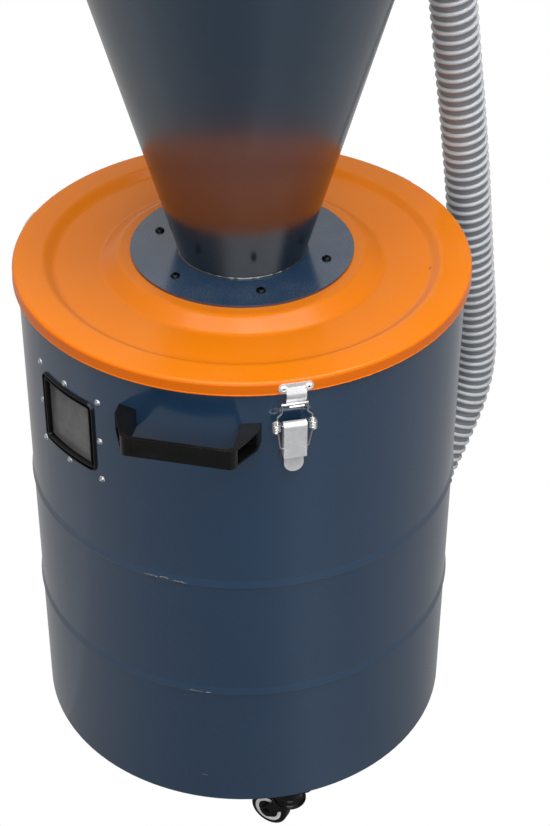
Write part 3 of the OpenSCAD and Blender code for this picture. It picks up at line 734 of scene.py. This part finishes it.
def smooth_path(points: Sequence[Vector], step: float) -> list[Vector]:
    """Runs a smooth curve through points and samples it evenly.

    Args:
        points: Points that the curve passes.
        step: Distance between samples.

    Returns:
        The samples, ends included.
    """
    dense: list[Vector] = []
    for i in range(len(points) - 1):
        a, b = points[max(i - 1, 0)], points[i]
        c, d = points[i + 1], points[min(i + 2, len(points) - 1)]
        for k in range(24):
            t = k / 24
            dense.append(0.5 * ((2 * b) + (c - a) * t + (2 * a - 5 * b + 4 * c - d) * t * t
                                + (3 * b - a - 3 * c + d) * t * t * t))
    dense.append(points[-1].copy())
    length = run_length(dense)
    count = max(2, round(length / step))
    out, walked, target, k = [dense[0].copy()], 0.0, length / count, 1
    for p, q in zip(dense, dense[1:]):
        span = (q - p).length
        while k < count and walked + span >= k * target:
            out.append(p.lerp(q, (k * target - walked) / span))
            k += 1
        walked += span
    out.append(dense[-1].copy())
    return out


def bent_path(corners: Sequence[Vector], bend: float, count: int = 6) -> list[Vector]:
    """Joins corners by straight runs with a round bend at each.

    Args:
        corners: The corners, ends included.
        bend: Distance from a corner at which its bend starts.
        count: Points on each bend.

    Returns:
        Points of the bent line.
    """
    out = [corners[0].copy()]
    for a, b, c in zip(corners, corners[1:], corners[2:]):
        start = b + (a - b).normalized() * min(bend, (a - b).length * 0.45)
        end = b + (c - b).normalized() * min(bend, (c - b).length * 0.45)
        out += [start.lerp(b, k / count).lerp(b.lerp(end, k / count), k / count) for k in range(count + 1)]
    return out + [corners[-1].copy()]


def sliced(bm: BMesh, heights: Iterable[float]) -> BMesh:
    """Cuts edges into a shape at level planes, so that it can be bent there.

    Args:
        bm: The shape.
        heights: Heights of the planes.

    Returns:
        The same shape.
    """
    for height in heights:
        bmesh.ops.bisect_plane(bm, geom=bm.verts[:] + bm.edges[:] + bm.faces[:], plane_co=(0.0, 0.0, height),
                               plane_no=(0.0, 0.0, 1.0))
    return bm


def arc_points(centre: tuple[float, float], radius: float, start: float, end: float, count: int
               ) -> list[tuple[float, float]]:
    """Points of an arc by degrees, both ends included."""
    turns = [math.radians(start + (end - start) * i / count) for i in range(count + 1)]
    return [(centre[0] + radius * math.cos(t), centre[1] + radius * math.sin(t)) for t in turns]


def mirrored(bm: BMesh) -> BMesh:
    """Adds the mirror image across y = 0.

    Args:
        bm: One half.

    Returns:
        The same shape with both halves.
    """
    bmesh.ops.mirror(bm, geom=bm.verts[:] + bm.edges[:] + bm.faces[:], axis="Y", merge_dist=0.0)
    bmesh.ops.recalc_face_normals(bm, faces=bm.faces)
    return bm


def joined(*parts: BMesh) -> BMesh:
    """Puts several shapes in one.

    Args:
        parts: The shapes. All but the first are freed.

    Returns:
        The first shape, with the others in it.
    """
    whole = parts[0]
    for part in parts[1:]:
        scrap = mesh_of(part, "scrap")
        whole.from_mesh(scrap)
        bpy.data.meshes.remove(scrap)
    return whole


def moved(bm: BMesh, matrix: Matrix) -> BMesh:
    """Moves a whole shape."""
    bmesh.ops.transform(bm, matrix=matrix, verts=bm.verts)
    return bm


def at(azimuth: float, radius: float = 0.0, height: float = 0.0) -> Matrix:
    """Place with x pointing outwards at an azimuth, a radius and a height."""
    return Matrix.Rotation(math.radians(azimuth), 4, "Z") @ Matrix.Translation((radius, 0.0, height))


def facing_out(azimuth: float, radius: float, height: float) -> Matrix:
    """Place with z pointing outwards at an azimuth, a radius and a height."""
    return at(azimuth, radius, height) @ Matrix.Rotation(math.pi / 2, 4, "Y")


def put(bm: BMesh, name: str, material: Material, body: str = ROOT,
        nodes: Iterable[str] = (), crease: float = 40.0, weighted: bool = False,
        second: Material | None = None) -> bpy.types.Object:
    """Makes a finished piece of a shape and lets it ride.

    Args:
        bm: The shape, in its place.
        name: The piece's name.
        material: Its finish.
        body: The body it moves with.
        nodes: Solids that it stands for.
        crease: Edges sharper than this many degrees stay sharp.
        weighted: Whether large faces keep their own shading beside narrow roundings.
        second: The finish of the faces whose material index is 1.

    Returns:
        The piece.
    """
    limit = math.radians(crease)
    for face in bm.faces:
        face.smooth = True
    for edge in bm.edges:
        edge.smooth = edge.calc_face_angle(0.0) < limit
    mesh = mesh_of(bm, name)
    piece = linked(name, mesh)
    mesh.materials.append(material)
    if second:
        mesh.materials.append(second)
    if weighted:
        piece.modifiers.new("even shading", "WEIGHTED_NORMAL").keep_sharp = True
    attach(piece, body)
    names = list(nodes)
    if names:
        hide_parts(*names)
    LOG.info("%s: %d faces on %s", name, len(mesh.polygons), body)
    return piece


def dress(frame: dict, material: Material, *nodes: str) -> None:
    """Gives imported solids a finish.

    Args:
        material: The finish.
        nodes: The solids.
    """
    for node in nodes:
        for place in frame["nodes"][node].material_slots:
            place.material = material
        LOG.info("%s: packed solid in %s", node, material.name)


# ---------------------------------------------------------------------------------------------------------
# Sub-assemblies
# ---------------------------------------------------------------------------------------------------------


@dataclass
class Studio:
    """Pale floor and surroundings, soft lights and the camera."""

    lens: float = 82.77
    place: tuple[float, float, float] = (-0.3661, -1.7756, FOOT + 1.721)
    yaw: float = 0.2241
    pitch: float = 0.6328
    roll: float = 0.00678
    floor_size: float = 30.0
    glows: Shades = field(default_factory=lambda: {
        -180.0: (0.35, 0.0), -165.0: (0.29, 0.0), -143.0: (0.21, 0.0), -120.0: (0.15, 0.0), -97.0: (0.16, 0.0),
        -85.0: (0.2, 0.1), -75.0: (0.27, 0.15), -63.0: (0.24, 0.1), -51.0: (0.22, 0.05), -25.0: (0.3, 0.0),
        6.0: (0.41, 0.0), 34.0: (0.44, 0.0), 60.0: (0.55, 0.0), 95.0: (0.55, 0.0), 119.0: (0.5, -0.08),
        160.0: (0.4, 0.0)})
    walls: dict[float, float] = field(default_factory=lambda: {
        -180.0: 0.45, -30.0: 0.45, -15.0: 0.22, 60.0: 0.22, 78.0: 0.75, 108.0: 0.75, 125.0: 0.45})
    wall_blue: float = -0.08
    strip_spread: float = 0.16

    def camera(self) -> None:
        """Sets up the camera."""
        data = bpy.data.cameras.new("camera")
        data.lens = self.lens
        data.sensor_width = 36.0
        data.clip_end = 60.0
        ahead = Vector((math.sin(self.yaw) * math.cos(self.pitch), math.cos(self.yaw) * math.cos(self.pitch),
                        -math.sin(self.pitch)))
        right = Vector((math.cos(self.yaw), -math.sin(self.yaw), 0.0))
        up = right.cross(ahead)
        turned = right * math.cos(self.roll) + up * math.sin(self.roll)
        upright = up * math.cos(self.roll) - right * math.sin(self.roll)
        camera = linked("camera", data)
        camera.matrix_world = (Matrix.Translation(self.place)
                               @ Matrix((turned, upright, -ahead)).transposed().to_4x4())
        bpy.context.scene.camera = camera

    def by_azimuth(self, sheet: Sheet, spot: bpy.types.Node, shades: Shades) -> Socket:
        """Shades a sheet by the direction round the Z axis.

        Args:
            sheet: The sheet.
            spot: The node that gives x, y and z.
            shades: Brightness and share of blue by azimuth in degrees.

        Returns:
            The colour.
        """
        round_about = sheet.math("ARCTAN2", spot.outputs[1], spot.outputs[0])
        ramp = sheet.add("ValToRGB", Fac=sheet.plus(sheet.math("DIVIDE", round_about, math.tau), 0.5))
        ramp.color_ramp.interpolation = "B_SPLINE"
        stops = ramp.color_ramp.elements
        for azimuth, (glow, blue) in shades.items():
            stop = stops.new(azimuth / 360.0 + 0.5)
            stop.color = (glow, glow * (1.0 + blue / 2), glow * (1.0 + blue), 1.0)
        stops.remove(stops[0])
        stops.remove(stops[-1])
        return ramp.outputs[0]

    def backdrop(self, sheet: Sheet, shades: Shades) -> Socket:
        """Colour that is white where it is looked at, and lights the unit by azimuth.

        Args:
            sheet: The sheet.
            shades: Brightness and share of blue by azimuth in degrees.

        Returns:
            The colour.
        """
        seen = sheet.add("LightPath").outputs["Is Camera Ray"]
        spot = sheet.add("SeparateXYZ", Vector=sheet.add("TexCoord").outputs["Object"])
        return sheet.blend(seen, self.by_azimuth(sheet, spot, shades), rgba(WHITE))

    def floor(self) -> None:
        """Lays a plain pale floor."""
        bm = bmesh.new()
        bmesh.ops.create_grid(bm, x_segments=1, y_segments=1, size=self.floor_size / 2)
        mesh = mesh_of(bm, "floor")
        material = bpy.data.materials.new("pale_floor")
        material.use_nodes = True
        sheet = Sheet(material.node_tree)
        glow = self.backdrop(sheet, self.glows)
        sheet.add("OutputMaterial", Surface=sheet.add("Emission", Color=glow).outputs[0])
        mesh.materials.append(material)
        piece = linked("floor", mesh)

    def surroundings(self) -> None:
        """Surrounds the unit with walls of light, white where they are looked at."""
        world = bpy.data.worlds.new("studio")
        world.use_nodes = True
        sheet = Sheet(world.node_tree)
        room = self.backdrop(sheet, {azimuth: (glow, self.wall_blue) for azimuth, glow in self.walls.items()})
        sheet.add("OutputWorld", Surface=sheet.add("Background", Color=room).outputs[0])
        bpy.context.scene.world = world

    def light(self, name: str, place: tuple[float, float, float], size: tuple[float, float], power: float,
              target: tuple[float, float, float] = (0.0, 0.0, 0.6)) -> None:
        """Hangs one rectangular softbox.

        Args:
            name: Its name.
            place: Where it hangs.
            size: Width and height.
            power: Watts.
            target: Where it points.
        """
        data = bpy.data.lights.new(name, "AREA")
        data.shape = "RECTANGLE"
        data.size, data.size_y = size
        data.energy = power
        lamp = linked(name, data)
        lamp.location = place
        lamp.rotation_euler = (Vector(target) - Vector(place)).to_track_quat("-Z", "Y").to_euler()

    def build(self) -> None:
        """Builds the whole set."""
        bpy.context.scene.view_settings.view_transform = "Standard"
        self.surroundings()
        self.floor()
        self.light("overhead", (0.3, -0.95, 4.2), (3.8, 3.8), 175.0)
        self.light("front", (-0.4, -3.5, 2.2), (2.5, 1.5), 50.0)
        for number, across in enumerate((-self.strip_spread, 0.0, self.strip_spread), 1):
            self.light(f"strip_{number}", (0.03 + across, -0.55, 4.0), (0.05, 0.5), 5.0)


@dataclass
class Shell:
    """Drum, lid, cone and their flanges."""

    neck_radius: float = 71.5 * MM
    neck_height: float = FOOT + 623.5 * MM
    weld_lift: float = 0.3 * MM
    weld_size: float = 1.9 * MM
    weld_waves: tuple[tuple[float, int, float], ...] = ((0.25 * MM, 37, 0.0), (0.15 * MM, 61, 1.0))
    weld_steps: int = 180

    def build(self, frame: dict, finishes: Finishes) -> None:
        """Dresses the shells and adds the weld round the cone's foot.

        Args:
            finishes: The unit's finishes.
        """
        dress(frame, finishes.slate, "drum_shell", "drum_floor", "neck_flange", "mouth_flange", "hose_port")
        dress(frame, finishes.cone, "cone_shell")
        dress(frame, finishes.orange, "lid")
        dress(frame, finishes.rubber, "lid_gasket")
        dress(frame, finishes.black_steel, "neck_bolts")
        self.weld(finishes)

    def weld(self, finishes: Finishes) -> None:
        """Lays a painted fillet weld in the corner between cone and flange.

        Args:
            finishes: The unit's finishes.
        """
        turns = [math.tau * i / self.weld_steps for i in range(self.weld_steps + 1)]
        path = [Vector((self.neck_radius * math.cos(t), self.neck_radius * math.sin(t),
                        self.neck_height + self.weld_lift)) for t in turns]
        radii = [self.weld_size + sum(high * math.sin(count * t + lag) for high, count, lag in self.weld_waves)
                 for t in turns]
        # The weld takes the cone's finish, dark with the painted shade at the foot.
        put(tube(path, radii, 10, capped=False), "cone_weld", finishes.cone)


@dataclass
class Window:
    """Sight window: trim, pane and screws."""

    azimuth: float = -151.0
    height: float = FOOT + 500.0 * MM
    wall: float = 250.0 * MM
    seal_face: float = 251.8 * MM
    pitch: float = 51.0 * MM
    head: float = 3.6 * MM
    head_rise: float = 2.3 * MM
    socket: float = 1.0 * MM
    groove: tuple[tuple[float, float], ...] = ((0.9 * MM, 0.0), (0.35 * MM, -1.0 * MM))

    def seal(self, frame: dict) -> BMesh:
        """Rounds the seal and sinks a groove along the middle of its face.


        Returns:
            The seal in its place.
        """
        bm = softened_node(frame, "window_trim", 0.45 * MM)
        face = [f for f in bm.faces if all(math.hypot(v.co.x, v.co.y) > self.seal_face - 0.06 * MM for v in f.verts)]
        for width, depth in self.groove:
            bmesh.ops.inset_region(bm, faces=face, thickness=width, depth=depth, use_even_offset=True)
        return bm

    def screws(self) -> BMesh:
        """Turns the eight domed screw heads with their sockets.

        Returns:
            The heads in their places.
        """
        dome = [(self.head * math.cos(math.radians(a)), self.head_rise * math.sin(math.radians(a)))
                for a in range(0, 76, 15)]
        profile = [(0.0, 1.2 * MM), (self.socket, 1.4 * MM), (self.socket, 2.25 * MM), *reversed(dome), (0.0, 0.0)]
        step = math.degrees(self.pitch / self.wall)
        heads = []
        for i in (-1, 0, 1):
            for j in (-1, 0, 1):
                if i or j:
                    place = facing_out(self.azimuth + i * step, self.wall, self.height + j * self.pitch)
                    heads.append(moved(lathe(profile, 24, closed=False), place))
        return joined(*heads)

    def build(self, frame: dict, finishes: Finishes) -> None:
        """Dresses the window.

        Args:
            finishes: The unit's finishes.
        """
        put(self.seal(frame), "window_seal", finishes.seal, nodes=["window_trim"], weighted=True)
        dress(frame, finishes.pane, "window_pane")
        dress(frame, finishes.zinc, "window_screws")
        put(self.screws(), "screw_heads", finishes.bright)


@dataclass
class Handles:
    """Two moulded bow handles."""

    def build(self, frame: dict, finishes: Finishes) -> None:
        """Rounds and dresses the handles.

        Args:
            finishes: The unit's finishes.
        """
        for side in ("front", "rear"):
            shape = softened_node(frame, f"{side}_handle", 0.7 * MM)
            put(shape, f"{side}_bow", finishes.plastic, nodes=[f"{side}_handle"], weighted=True)


@dataclass
class Latches:
    """Three toggle latches with sprung wire bails."""

    azimuths: tuple[float, ...] = (-90.0, 30.0, 150.0)
    pivot: tuple[float, float] = (260.5 * MM, FOOT + 563.0 * MM)
    toggle_height: float = FOOT + 534.5 * MM
    bar: tuple[float, float] = (260.3 * MM, FOOT + 589.5 * MM)
    bar_length: float = 28.6 * MM
    bar_diameter: float = 3.0 * MM
    wire: float = 1.8 * MM
    wire_bend: float = 2.4 * MM
    hook_tip: float = 9.5 * MM
    hook_reach: float = 2.6 * MM
    lever_width: float = 24.6 * MM
    tab_start: float = 43.0 * MM
    tab_kick: float = 0.08
    coil_pitch: float = 38.0 * MM
    coil_diameter: float = 10.2 * MM
    coil_height: float = 9.5 * MM
    coil_middle: float = FOOT + 562.5 * MM
    coil_turns: int = 5
    tongue_width: float = 21.0 * MM
    ledge: float = 257.1 * MM
    keeper_height: float = FOOT + 607.0 * MM
    rivet_pitch: float = 26.0 * MM
    rivet_shift: float = 2.0 * MM
    rivet_hole_shade_radius: float = 1.25 * MM
    rivet_rim: tuple[tuple[float, float], ...] = (
        (1.3, -0.6), (1.3, 1.4), (2.0, 1.8), (3.0, 1.5), (3.7, 0.6), (3.9, 0.0), (3.9, -0.6))
    fold: float = 2.3 * MM
    fold_height: float = FOOT + 599.0 * MM
    ears_foot: float = FOOT + 601.5 * MM

    def bail(self) -> BMesh:
        """Bends the bail: bar, two coil springs and the hooked ends in the lever.

        Returns:
            The bail at azimuth 0.
        """
        half = self.coil_height / 2
        side = self.coil_pitch / 2
        arm = (self.coil_diameter - self.wire) / 2
        middle = Vector(((self.pivot[0] + self.bar[0]) / 2, side, self.coil_middle))
        lower = [Vector((self.pivot[0], self.hook_tip, self.toggle_height)),
                 Vector((self.pivot[0], self.lever_width / 2 + self.hook_reach, self.toggle_height)),
                 middle + Vector((arm * 0.7, -1.2 * MM, -half - 2.0 * MM)),
                 middle + Vector((arm, 0.6 * MM, -half))]
        steps = self.coil_turns * 20
        coil = [middle + Vector((arm * math.cos(math.tau * i / 20), arm * math.sin(math.tau * i / 20),
                                 -half + self.coil_height * i / steps)) for i in range(steps + 1)]
        end = self.bar_length / 2 - self.wire / 2
        upper = [middle + Vector((arm, 0.0, half))]
        upper += [Vector((self.bar[0], across, self.bar[1] + rise * MM)) for across, rise in (
            (side - 0.4 * MM, -19.0), (side - 0.4 * MM, -15.0), (end, -10.5), (end, 3.4))]
        shapes = [tube(coil, [self.wire / 2] * len(coil), 10)]
        for line in (lower, upper):
            run = bent_path(line, self.wire_bend)
            shapes.append(tube(run, [self.wire / 2] * len(run), 12))
        wire = mirrored(joined(*shapes))
        rod = moved(pin(self.bar_diameter / 2, self.bar_length, 28),
                    Matrix.Translation((self.bar[0], 0.0, self.bar[1])) @ Matrix.Rotation(math.pi / 2, 4, "X"))
        return joined(wire, soften(rod, 0.4 * MM))

    def lever(self, frame: dict, number: int, azimuth: float) -> BMesh:
        """Rounds a lever, dishes its front and kicks its finger tab's tip out.

        Args:
            number: The latch's number.
            azimuth: The latch's direction.

        Returns:
            The lever in its place.
        """
        bm = moved(softened_node(frame, f"latch_lever_{number}", 0.4 * MM, segments=3), at(azimuth).inverted())
        low = self.pivot[1] - self.tab_start
        sliced(bm, [low])
        front = max((f for f in bm.faces if f.normal.x > 0.99), key=lambda f: f.calc_area())
        for width, depth in ((1.6 * MM, 0.0), (1.0 * MM, -0.6 * MM)):
            bmesh.ops.inset_region(bm, faces=[front], thickness=width, depth=depth, use_even_offset=True)
        sliced(bm, [low - k * 1.5 * MM for k in range(1, 12)])
        for v in bm.verts:
            if v.co.z < low:
                v.co.x += self.tab_kick * (low - v.co.z)
        return moved(bm, at(azimuth))

    def keeper(self, frame: dict, number: int, azimuth: float) -> BMesh:
        """Rounds a keeper and folds its tongue out over the lid's hem.

        Args:
            number: The latch's number.
            azimuth: The latch's direction.

        Returns:
            The keeper in its place.
        """
        bm = moved(softened_node(frame, f"latch_keeper_{number}", 0.3 * MM), at(azimuth).inverted())
        top, foot = self.keeper_height + 2.0 * MM, self.bar[1] + 2.2 * MM
        levels = [self.fold_height + k * 0.5 * MM for k in (-3, -2, -1, 0, 1, 2, 3)]
        sliced(bm, [foot, *levels, self.ears_foot, top - 2 * MM, top])
        for v in bm.verts:
            on_ears = v.co.z > self.ears_foot - 0.2 * MM and v.co.x < self.ledge - 0.5 * MM
            if foot < v.co.z < top and abs(v.co.y - 2.0 * MM) < self.tongue_width / 2 + 0.1 * MM and not on_ears:
                away = (v.co.z - self.fold_height) / ((top if v.co.z > self.fold_height else foot) - self.fold_height)
                v.co.x += self.fold * (1.0 - math.sqrt(away * away + 0.03)) if away < 0.985 else 0.0
        return moved(bm, at(azimuth))

    def rivets(self, azimuth: float) -> BMesh:
        """Turns the two rolled rims of a keeper's hollow rivets, each with a black disc in its hole as painted shade.

        Args:
            azimuth: The latch's direction.

        Returns:
            Both rims in their places.
        """
        rim = [(r * MM, z * MM) for r, z in self.rivet_rim]
        rims = []
        for side in (-1, 1):
            turn = math.degrees((self.rivet_shift + side * self.rivet_pitch / 2) / self.ledge)
            # A black disc sunk in each rivet's hole is painted shade.
            bore = moved(pin(self.rivet_hole_shade_radius, 0.4 * MM), Matrix.Translation((0.0, 0.0, 0.5 * MM)))
            for face in bore.faces:
                face.material_index = 1
            rims.append(moved(joined(lathe(rim, 32), bore),
                              facing_out(azimuth + turn, self.ledge, self.keeper_height)))
        return joined(*rims)

    def build(self, frame: dict, finishes: Finishes) -> None:
        """Builds and dresses the three latches.

        Args:
            finishes: The unit's finishes.
        """
        for number, azimuth in enumerate(self.azimuths, 1):
            put(moved(self.bail(), at(azimuth)), f"sprung_bail_{number}", finishes.wire,
                f"bail_{number}", [f"latch_bail_{number}"])
            put(self.lever(frame, number, azimuth), f"pressed_lever_{number}", finishes.stainless,
                f"lever_{number}", [f"latch_lever_{number}"], weighted=True)
            put(self.keeper(frame, number, azimuth), f"pressed_keeper_{number}", finishes.stainless,
                ROOT, [f"latch_keeper_{number}"], weighted=True)
            # The latch bases wear the darker steel as painted shade.
            dress(frame, finishes.painted_shade_steel, f"latch_base_{number}")
            # The second finish, black, is the painted shade in the rivet holes.
            put(self.rivets(azimuth), f"rivet_heads_{number}", finishes.bright,
                second=finishes.black_steel)


@dataclass
class Casters:
    """Three swivel casters that trail one way."""

    azimuths: tuple[float, ...] = (-88.0, 32.0, 152.0)
    radius: float = 227.0 * MM
    trail_azimuth: float = 138.0
    trail: float = 25.0 * MM
    wheel_radius: float = 24.0 * MM
    wheel_width: float = 20.0 * MM
    bore: float = 3.05 * MM
    ring_outer: float = 17.6 * MM
    ring_inner: float = 13.2 * MM
    flare: float = 20.5 * MM
    flare_height: float = 51.0 * MM
    ridges: tuple[tuple[float, float], ...] = (
        (0.0, 0.0), (0.0, 1.6), (1.0, 2.5), (1.7, 2.4), (2.4, 3.6), (3.1, 3.5), (3.6, 4.8), (4.1, 7.0), (5.0, 7.0),
        (5.0, 0.0))

    @property
    def side(self) -> float:
        """Height of a wheel's side above its middle plane, without the hub."""
        return self.wheel_width / 2 - 2 * MM

    def place(self, azimuth: float) -> Matrix:
        """Place of a caster's axle, with x along the trail and y along the axle.

        Args:
            azimuth: The caster's direction in degrees.

        Returns:
            The place.
        """
        turn = math.radians(azimuth)
        return (Matrix.Translation((self.radius * math.cos(turn), self.radius * math.sin(turn), 0.0))
                @ at(self.trail_azimuth, self.trail, self.wheel_radius))

    def tyre(self) -> BMesh:
        """Turns the tyre and its hub about the axle.

        Returns:
            The tyre, with its axle along z.
        """
        r, h = self.wheel_radius, self.side
        edge = 3.2 * MM
        crown = arc_points((r - edge, h - edge), edge, 0, 90, 6)
        inner = [(self.ring_outer + 0.9 * MM, h), (self.ring_outer + 0.3 * MM, h - 0.9 * MM),
                 (9.5 * MM, h - 0.9 * MM), (8.6 * MM, h),
                 (8.0 * MM, h + 1.9 * MM), (self.bore, h + 1.9 * MM)]
        top = crown + inner
        profile = top + [(x, -z) for x, z in reversed(top)]
        return lathe(profile, 72)

    def ring(self, side: float) -> BMesh:
        """Turns the pale ring that covers a wheel's side.

        Args:
            side: 1.0 for one side of the wheel, -1.0 for the other.

        Returns:
            The ring, with the axle along z.
        """
        h = self.side
        profile = [(self.ring_outer, h - 1.2 * MM), (self.ring_outer, h + 0.2 * MM),
                   (self.ring_outer - 0.6 * MM, h + 0.6 * MM), (self.ring_inner + 0.6 * MM, h + 0.6 * MM),
                   (self.ring_inner, h + 0.2 * MM), (self.ring_inner, h - 1.2 * MM)]
        return lathe([(x, side * z) for x, z in profile], 72)

    def swivel_rings(self) -> BMesh:
        """Turns the pressed ridges round the fork's cup."""
        profile = [(self.flare - a * MM, self.flare_height + b * MM) for a, b in self.ridges]
        return soften(lathe(profile, 72), 0.25 * MM)

    def build(self, frame: dict, finishes: Finishes) -> None:
        """Builds and dresses the casters.

        Args:
            finishes: The unit's finishes.
        """
        lie = Matrix.Rotation(math.pi / 2, 4, "X")
        for number, azimuth in enumerate(self.azimuths, 1):
            place = self.place(azimuth) @ lie
            put(moved(self.tyre(), place), f"tyre_{number}", finishes.tread, f"wheel_{number}",
                [f"caster_wheel_{number}"])
            rings = joined(self.ring(1.0), self.ring(-1.0))
            put(moved(rings, place), f"wheel_ring_{number}", finishes.grey_rim, f"wheel_{number}")
            put(softened_node(frame, f"caster_fork_{number}", 0.4 * MM), f"pressed_fork_{number}",
                finishes.black_paint, f"fork_{number}", [f"caster_fork_{number}"], weighted=True)
            put(moved(self.swivel_rings(), at(azimuth, self.radius)), f"swivel_rings_{number}",
                finishes.black_paint, f"fork_{number}")
            dress(frame, finishes.black_paint, f"caster_plate_{number}")


@dataclass
class Hose:
    """Corrugated balance hose with its cuffs and clamp."""

    azimuth: float = 21.0
    outside: float = 55.0 * MM
    bore: float = 50.0 * MM
    pitch: float = 12.3 * MM
    bead: float = 2.5 * MM
    sag: float = 0.6 * MM
    sides: int = 40
    rise: float = 62.0
    cuff_length: float = 35.0 * MM
    cuff_wall: float = 4.0 * MM
    rib_depth: float = 0.8 * MM
    band_width: float = 9.0 * MM
    band_gauge: float = 0.8 * MM
    housing_out: float = 2.6 * MM
    mouth_height: float = FOOT + 1076.5 * MM
    route: tuple[tuple[float, float], ...] = (
        (296, 178), (307, 199), (318, 222), (330, 248), (341, 276), (349, 306), (352, 338), (351, 369),
        (346, 417), (339, 467), (332, 516), (325, 566), (318, 616), (310, 666), (302, 715), (293, 765),
        (283, 825), (276, 863), (269, 900), (262, 935), (256, 970), (252, 1002), (250, 1030),
    )

    def points(self) -> list[Vector]:
        """The route's points in the part's frame."""
        turn = at(self.azimuth)
        return [turn @ Vector((r * MM, 0.0, FOOT + z * MM)) for r, z in self.route]

    def wall_radii(self, along: float) -> list[float]:
        """Radius of the wall on each side at a distance along the hose, sagging between the spiral's turns."""
        phases = [(along / self.pitch - k / self.sides) % 1.0 for k in range(self.sides)]
        return [self.outside / 2 - 1.2 * self.bead - self.sag * math.sin(math.pi * p) for p in phases]

    def tube_piece(self, finishes: Finishes) -> bpy.types.Object:
        """Makes the hose: a soft wall over a hard spiral.

        Args:
            finishes: The unit's finishes.

        Returns:
            The piece.
        """
        line = smooth_path(self.points(), self.pitch / 8)
        step = run_length(line) / (len(line) - 1)
        wall = tube(line, [self.wall_radii(i * step) for i in range(len(line))], self.sides, capped=False)
        fine = smooth_path(self.points(), self.pitch / 28)
        turn = math.tau * run_length(fine) / (len(fine) - 1) / self.pitch
        reach = self.outside / 2 - self.bead
        coil = [spot @ Vector((reach * math.cos(i * turn), reach * math.sin(i * turn), 0.0))
                for i, spot in enumerate(frames_along(fine))]
        spiral = tube(coil, [self.bead] * len(coil), 12)
        for face in spiral.faces:
            face.material_index = 1
        return put(joined(wall, spiral), "balance_hose", finishes.hose, ROOT, ["hose"], crease=60.0,
                   second=finishes.spiral)

    def port_place(self) -> Matrix:
        """Place where the hose starts, with z along the port."""
        r, z = self.route[0]
        return at(self.azimuth, r * MM, FOOT + z * MM) @ Matrix.Rotation(math.radians(90 - self.rise), 4, "Y")

    def cuff(self, length: float) -> BMesh:
        """Turns a rubber cuff with three grip ribs, from its end up.

        Args:
            length: Its length.

        Returns:
            The cuff, with its open end at the origin.
        """
        bore = self.bore / 2
        outer = bore + self.cuff_wall
        profile = [(bore, 0.0), (outer - 1.0 * MM, 0.0), (outer, 1.0 * MM)]
        for k in range(3):
            z = length - (14.0 - 4.0 * k) * MM
            profile += [(outer, z), (outer - self.rib_depth, z + 0.8 * MM), (outer - self.rib_depth, z + 1.6 * MM),
                        (outer, z + 2.4 * MM)]
        profile += [(outer, length - 1.0 * MM), (outer - 1.0 * MM, length), (bore, length)]
        return lathe(profile, 72)

    def clamp(self) -> BMesh:
        """Makes a worm-drive clamp: band, housing and screw.

        Returns:
            The clamp, with its lower edge at the origin.
        """
        band, middle = self.bore / 2 + self.cuff_wall, self.band_width / 2
        outer = band + self.band_gauge
        strip = lathe([(band, 0.0), (outer, 0.0), (outer, self.band_width), (band, self.band_width)], 72)
        housing = bmesh.new()
        bmesh.ops.create_cube(housing, size=1.0)
        moved(housing, Matrix.Translation((-band - self.housing_out, 0.0, middle))
              @ Matrix.Diagonal((4.4 * MM, 12.0 * MM, 8.6 * MM, 1.0)))
        soften(housing, 1.2 * MM, 3)
        screw = moved(pin(3.4 * MM, 3.0 * MM), Matrix.Translation((-band - self.housing_out, -7.2 * MM, middle))
                      @ Matrix.Rotation(math.pi / 2, 4, "X"))
        return joined(strip, housing, soften(screw, 0.4 * MM))

    def build(self, frame: dict, finishes: Finishes) -> None:
        """Args:
            finishes: The unit's finishes.
        """
        place = self.port_place()
        hose = self.tube_piece(finishes)
        lower = put(moved(self.cuff(self.cuff_length), place @ Matrix.Translation((0, 0, -self.cuff_length))),
                    "lower_cuff", finishes.rubber, ROOT, ["hose_cuff_lower"])
        clamp = put(moved(self.clamp(), place @ Matrix.Translation((0, 0, self.band_width - self.cuff_length))),
                    "worm_clamp", finishes.stainless, ROOT, ["hose_clamp"])
        top_r, top_z = self.route[-1]
        flip = at(self.azimuth, top_r * MM, self.mouth_height) @ Matrix.Rotation(math.pi, 4, "X")
        upper = put(moved(self.cuff(self.mouth_height - FOOT - top_z * MM), flip), "upper_cuff", finishes.rubber,
                    ROOT, ["hose_cuff_upper"])
        dress(frame, finishes.slate, "hose_bracket")
        points = self.points()
        line = smooth_path(points, 10.0 * MM)


def main() -> None:
    """Builds the set and every sub-assembly in order."""
    logging.basicConfig(level=logging.INFO, format="%(name)s %(message)s")
    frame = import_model()
    studio = Studio()
    studio.camera()
    finishes = Finishes()
    Hose().build(frame, finishes)
    studio.build()
    Shell().build(frame, finishes)
    Window().build(frame, finishes)
    Handles().build(frame, finishes)
    Latches().build(frame, finishes)
    Casters().build(frame, finishes)


if __name__ == "__main__":
    main()
